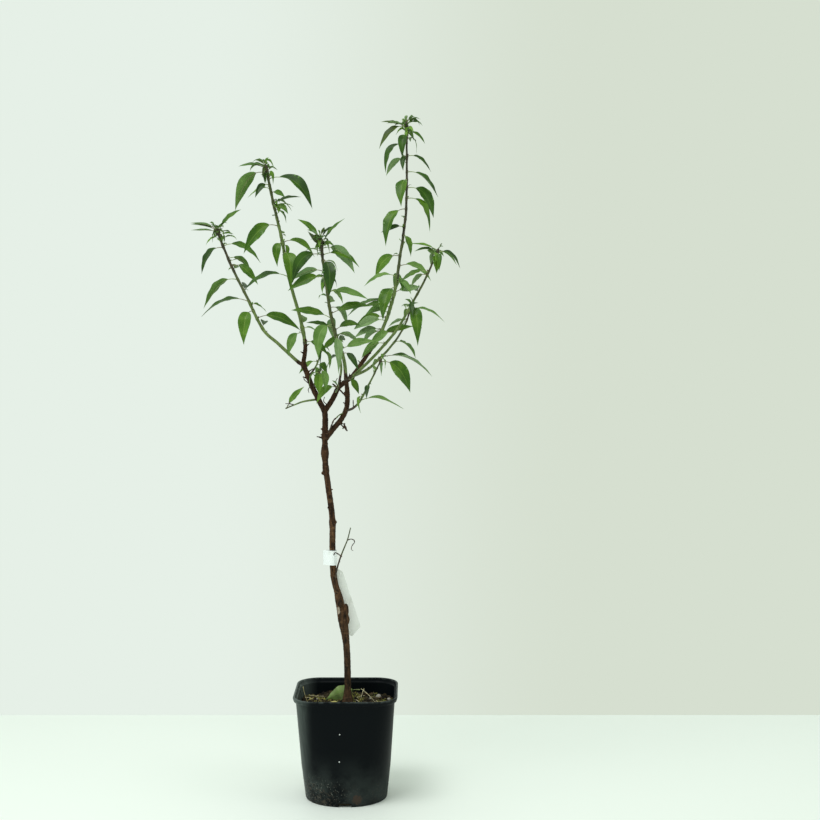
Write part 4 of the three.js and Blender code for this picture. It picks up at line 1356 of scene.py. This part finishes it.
def makeShoots(stemPaints):
    curves, grown = grownLeaves()
    leafPaints = paintLeaves()
    total = 0
    for order, (name, shoot) in enumerate(shoots.items()):
        random = seeded(order + 401)
        stems = newPile()
        heapShoot(stems, shoot, curves[name], grown[name], random)
        heapBudsAndSpurs(stems, shoot, curves[name], grown[name], random)
        slotName = "foliage" if shoot["tuft"] else "twig"
        settle(makePiled("stem_" + name, stems, stemPaints), slotName, name)
        leaves = grown[name] + axilLeaves(grown[name], random) + tipLeaves(shoot, curves[name], random)
        leaves += handSet(name, curves[name])
        if not leaves:
            continue
        blades = newPile()
        for leaf in leaves:
            size = "small" if leaf["length"] < leafRule["smallest"] else "large"
            upper = sum(random() > limit for limit in shootLook["greens"][size])
            under, stalk = 4 + int(random() > 0.5), 6 + int(random() > 0.6)
            if leaf.get("tone", -1) >= 0:
                upper = leaf["tone"]
            heapLeaf(blades, leaf, random, upper, under, stalk)
        total += len(leaves)
        settle(makePiled("leaves_" + name, blades, leafPaints, 50), "foliage", name)
    print("shoots made with", total, "leaves")


# Small dead twigs and stubs on the stem, the fork and the shoots: line, radii and paint

twiglets = [
    ([(-28, -4, 595), (-25, -8, 601), (-19, -14, 616), (-14, -16, 621)], (1.5, 1.1), 0),
    ([(-14, -16, 621), (-10, -18, 625), (-3, -18, 629)], (1.1, 0.9), 1),
    ([(-9, -11, 612), (-5, -10.5, 607.5), (-2, -10, 605), (1.6, -10, 601)], (1.2, 1.3), 0),
    ([(-4.6, -10, 602.5), (-2.2, -10, 606), (-1.4, -10, 610)], (1, 1.1), 0),
    ([(-6.2, -10.6, 395), (-12, -11, 399.5), (-17, -11, 401.8), (-19, -11, 399)], (1.2, 0.8), 0),
    ([(3.6, -14.4, 423), (9, -15, 424.6), (13.4, -15, 423)], (0.9, 0.7), 0),
    ([(13.4, -15, 423), (14.6, -15, 419.5), (12, -15, 416), (9.6, -15, 412), (9.4, -15, 407.6),
      (11.4, -15, 406)], (0.8, 0.5), 0),
    ([(-84, 10, 640), (-90, 11, 641.6), (-97, 12, 642)], (1, 0.7), 0),
    ([(-90, 11, 641.4), (-92, 11, 644)], (0.8, 0.8), 0),
    ([(14, -34, 638), (13.6, -33, 643), (13.4, -32, 649)], (0.9, 0.8), 0),
    ([(-60, 0, 676), (-66, -2, 681), (-67.6, -2, 686)], (0.9, 0.6), 0),
    ([(-56, -2, 672), (-60, -4, 666), (-59, -4, 661)], (0.8, 0.5), 0),
    ([(-30, 8, 640), (-36, 10, 646), (-35, 12, 652)], (0.9, 0.6), 0),
    ([(-12, 12, 670), (-17, 22, 676), (-15, 28, 682)], (0.9, 0.6), 0),
]


def makeTwiglets(paints):
    pile = newPile()
    for line, radii, paint in twiglets:
        curve = curveOf(line)
        shares = np.linspace(0, 1, max(4, int(curve["length"] / 1.5)))
        middles = curve["at"](shares)
        knots = 1 + 0.18 * np.sin(shares * curve["length"] * 0.9)
        heapStem(pile, middles, lerp(*radii, shares) * knots, 7, paint)
        heapBud(pile, middles[-1], middles[-1] - middles[-2], radii[1] * 2.2, radii[1] * 1.15, 4)
    settle(makePiled("twiglets", pile, paints), "bark")


# Fallen leaves: a large pale one on edge behind the stem, one that lies in front, and small dead ones

fallen = {
    "leaning": {"root": (21, 13, 171), "bearing": 181, "length": 60, "start": 5, "end": -25, "roll": 86,
                "twist": -16, "fold": 0.14, "halfWidth": 13},
    "lying": {"root": (-33, -16, 155.5), "bearing": -8, "length": 30, "start": 8, "end": -12, "roll": 20,
              "twist": 20, "fold": 0.35, "halfWidth": 6},
}


def makeFallenLeaves():
    random = seeded(19)
    pile = newPile()
    heapLeaf(pile, fallen["leaning"], random, 0, 0, 4)
    heapLeaf(pile, fallen["lying"], random, 1, 1, 2)
    for _ in range(soil["litter"]):
        place = scattered(random)
        dead = looseLeaf(place + [0, 0, 0.8], 0, looseLeaves["fallen"], random)
        if soilLeft(leafFrame(dead, 1)[0][0]) > 1:
            kind = 1 + int(random() * 2.99)
            heapLeaf(pile, dead, random, kind, kind, kind)
    paints = [
        paintLeaf("fallenGreen", (158, 196, 108), (192, 218, 146), 0.5, 0.3),
        paintLeaf("fallenYellow", (150, 146, 74), (178, 170, 100), 0.6, 0.4),
        paintLeaf("fallenBrown", (84, 62, 38), (122, 94, 60), 0.7, 0.4),
        paintLeaf("fallenDark", (48, 37, 25), (78, 60, 40), 0.8, 0.4),
        paintStem("fallenStalk", (126, 140, 84), (158, 166, 112)),
    ]
    settle(makePiled("fallen_leaves", pile, paints, 50), "foliage")


# Label: a band wound round the stem, its ends stuck together, and a blank tag behind the stem

label = {
    "band": {"middle": (-21.4, 0.8), "foot": 380, "height": 24, "radius": 6.5, "thick": 0.45, "flap": 9,
             "flapHalf": 0.25, "crease": 0.45},
    "tag": {"top": (-24, 6.7, 388), "end": (13.5, 17, 270), "width": 22, "neckWidth": 8, "neck": 16,
            "shoulder": 10, "corner": 4, "thick": 0.5, "slant": 9, "bow": 1.6, "cup": 0.9},
}


def finishPlastic(piece, thick, paint):
    wall = piece.modifiers.new("wall", "SOLIDIFY")
    wall.thickness = thick * mm
    wall.offset = 0
    applyModifiers(piece)
    smoothed(piece, 45, paint)
    settle(piece, "label", "label")


def makeBand(paint):
    size = label["band"]
    selectOnly()
    middle = metres((*size["middle"], size["foot"] + size["height"] / 2))
    bpy.ops.mesh.primitive_cylinder_add(vertices=56, radius=size["radius"] * mm, depth=size["height"] * mm,
                                        end_fill_type="NOTHING", location=middle)
    band = bpy.context.object
    band.name = "label_band"
    bpy.ops.object.transform_apply()
    bpy.ops.object.mode_set(mode="EDIT")
    bpy.ops.mesh.select_all(action="SELECT")
    bpy.ops.mesh.subdivide(number_cuts=3)
    bpy.ops.object.mode_set(mode="OBJECT")
    points = pointsOf(band)
    off = points[:, :2] - size["middle"]
    turn = np.arctan2(off[:, 1], off[:, 0])
    toFlap = np.maximum(0, -np.cos(turn)) ** 14
    points[:, 0] -= toFlap * size["flap"]
    points[:, 1] = lerp(points[:, 1], size["middle"][1] + np.sign(off[:, 1]) * size["flapHalf"], toFlap)
    crease = np.array([noiseAt(*(p * 0.16)) for p in points]) * size["crease"]
    points[:, :2] += unit(off) * (crease * (1 - toFlap))[:, None]
    movePoints(band, points)
    finishPlastic(band, size["thick"], paint)


def makeTag(paint):
    size = label["tag"]
    top, end = np.array(size["top"]), np.array(size["end"])
    length = float(np.linalg.norm(top - end))
    up = (top - end) / length
    back = unit(np.array([0, 1, 0]) - up * up[1])
    side = np.cross(up, back)
    selectOnly()
    bpy.ops.mesh.primitive_grid_add(x_subdivisions=10, y_subdivisions=60, size=2)
    tag = bpy.context.object
    tag.name = "label_tag"
    points = pointsOf(tag) * mm
    share = (points[:, 1] + 1) / 2
    height = share * length
    shoulder = np.clip((length - size["neck"] - height) / size["shoulder"], 0, 1)
    half = lerp(size["neckWidth"], size["width"], shoulder * shoulder * (3 - 2 * shoulder)) / 2
    inCorner = np.clip(1 - height / size["corner"], 0, 1)
    half = half - size["corner"] * (1 - np.sqrt(1 - inCorner ** 2))
    bow = size["bow"] * np.sin(share * math.pi) - size["cup"] * points[:, 0] ** 2
    height = height - size["slant"] * (0.5 + 0.5 * points[:, 0]) * np.maximum(0, 1 - share * 2.5)
    placed = end + up * height[:, None] + side * (points[:, 0] * half)[:, None] + back * bow[:, None]
    movePoints(tag, placed)
    finishPlastic(tag, size["thick"], paint)


makePot()
makeSoilBody()
makeCrumbs()
makeMoss()
makeStraws()
makeStones()
print("soil made")
makeBark()
makeBand(paintLabel("bandPlastic", (250, 255, 255), (216, 218, 208)))
makeTag(paintLabel("tagPlastic", (252, 255, 249), (222, 226, 210)))
print("label made")
shootPaints = paintStems()
makeShoots(shootPaints)
makeTwiglets(shootPaints)
makeFallenLeaves()
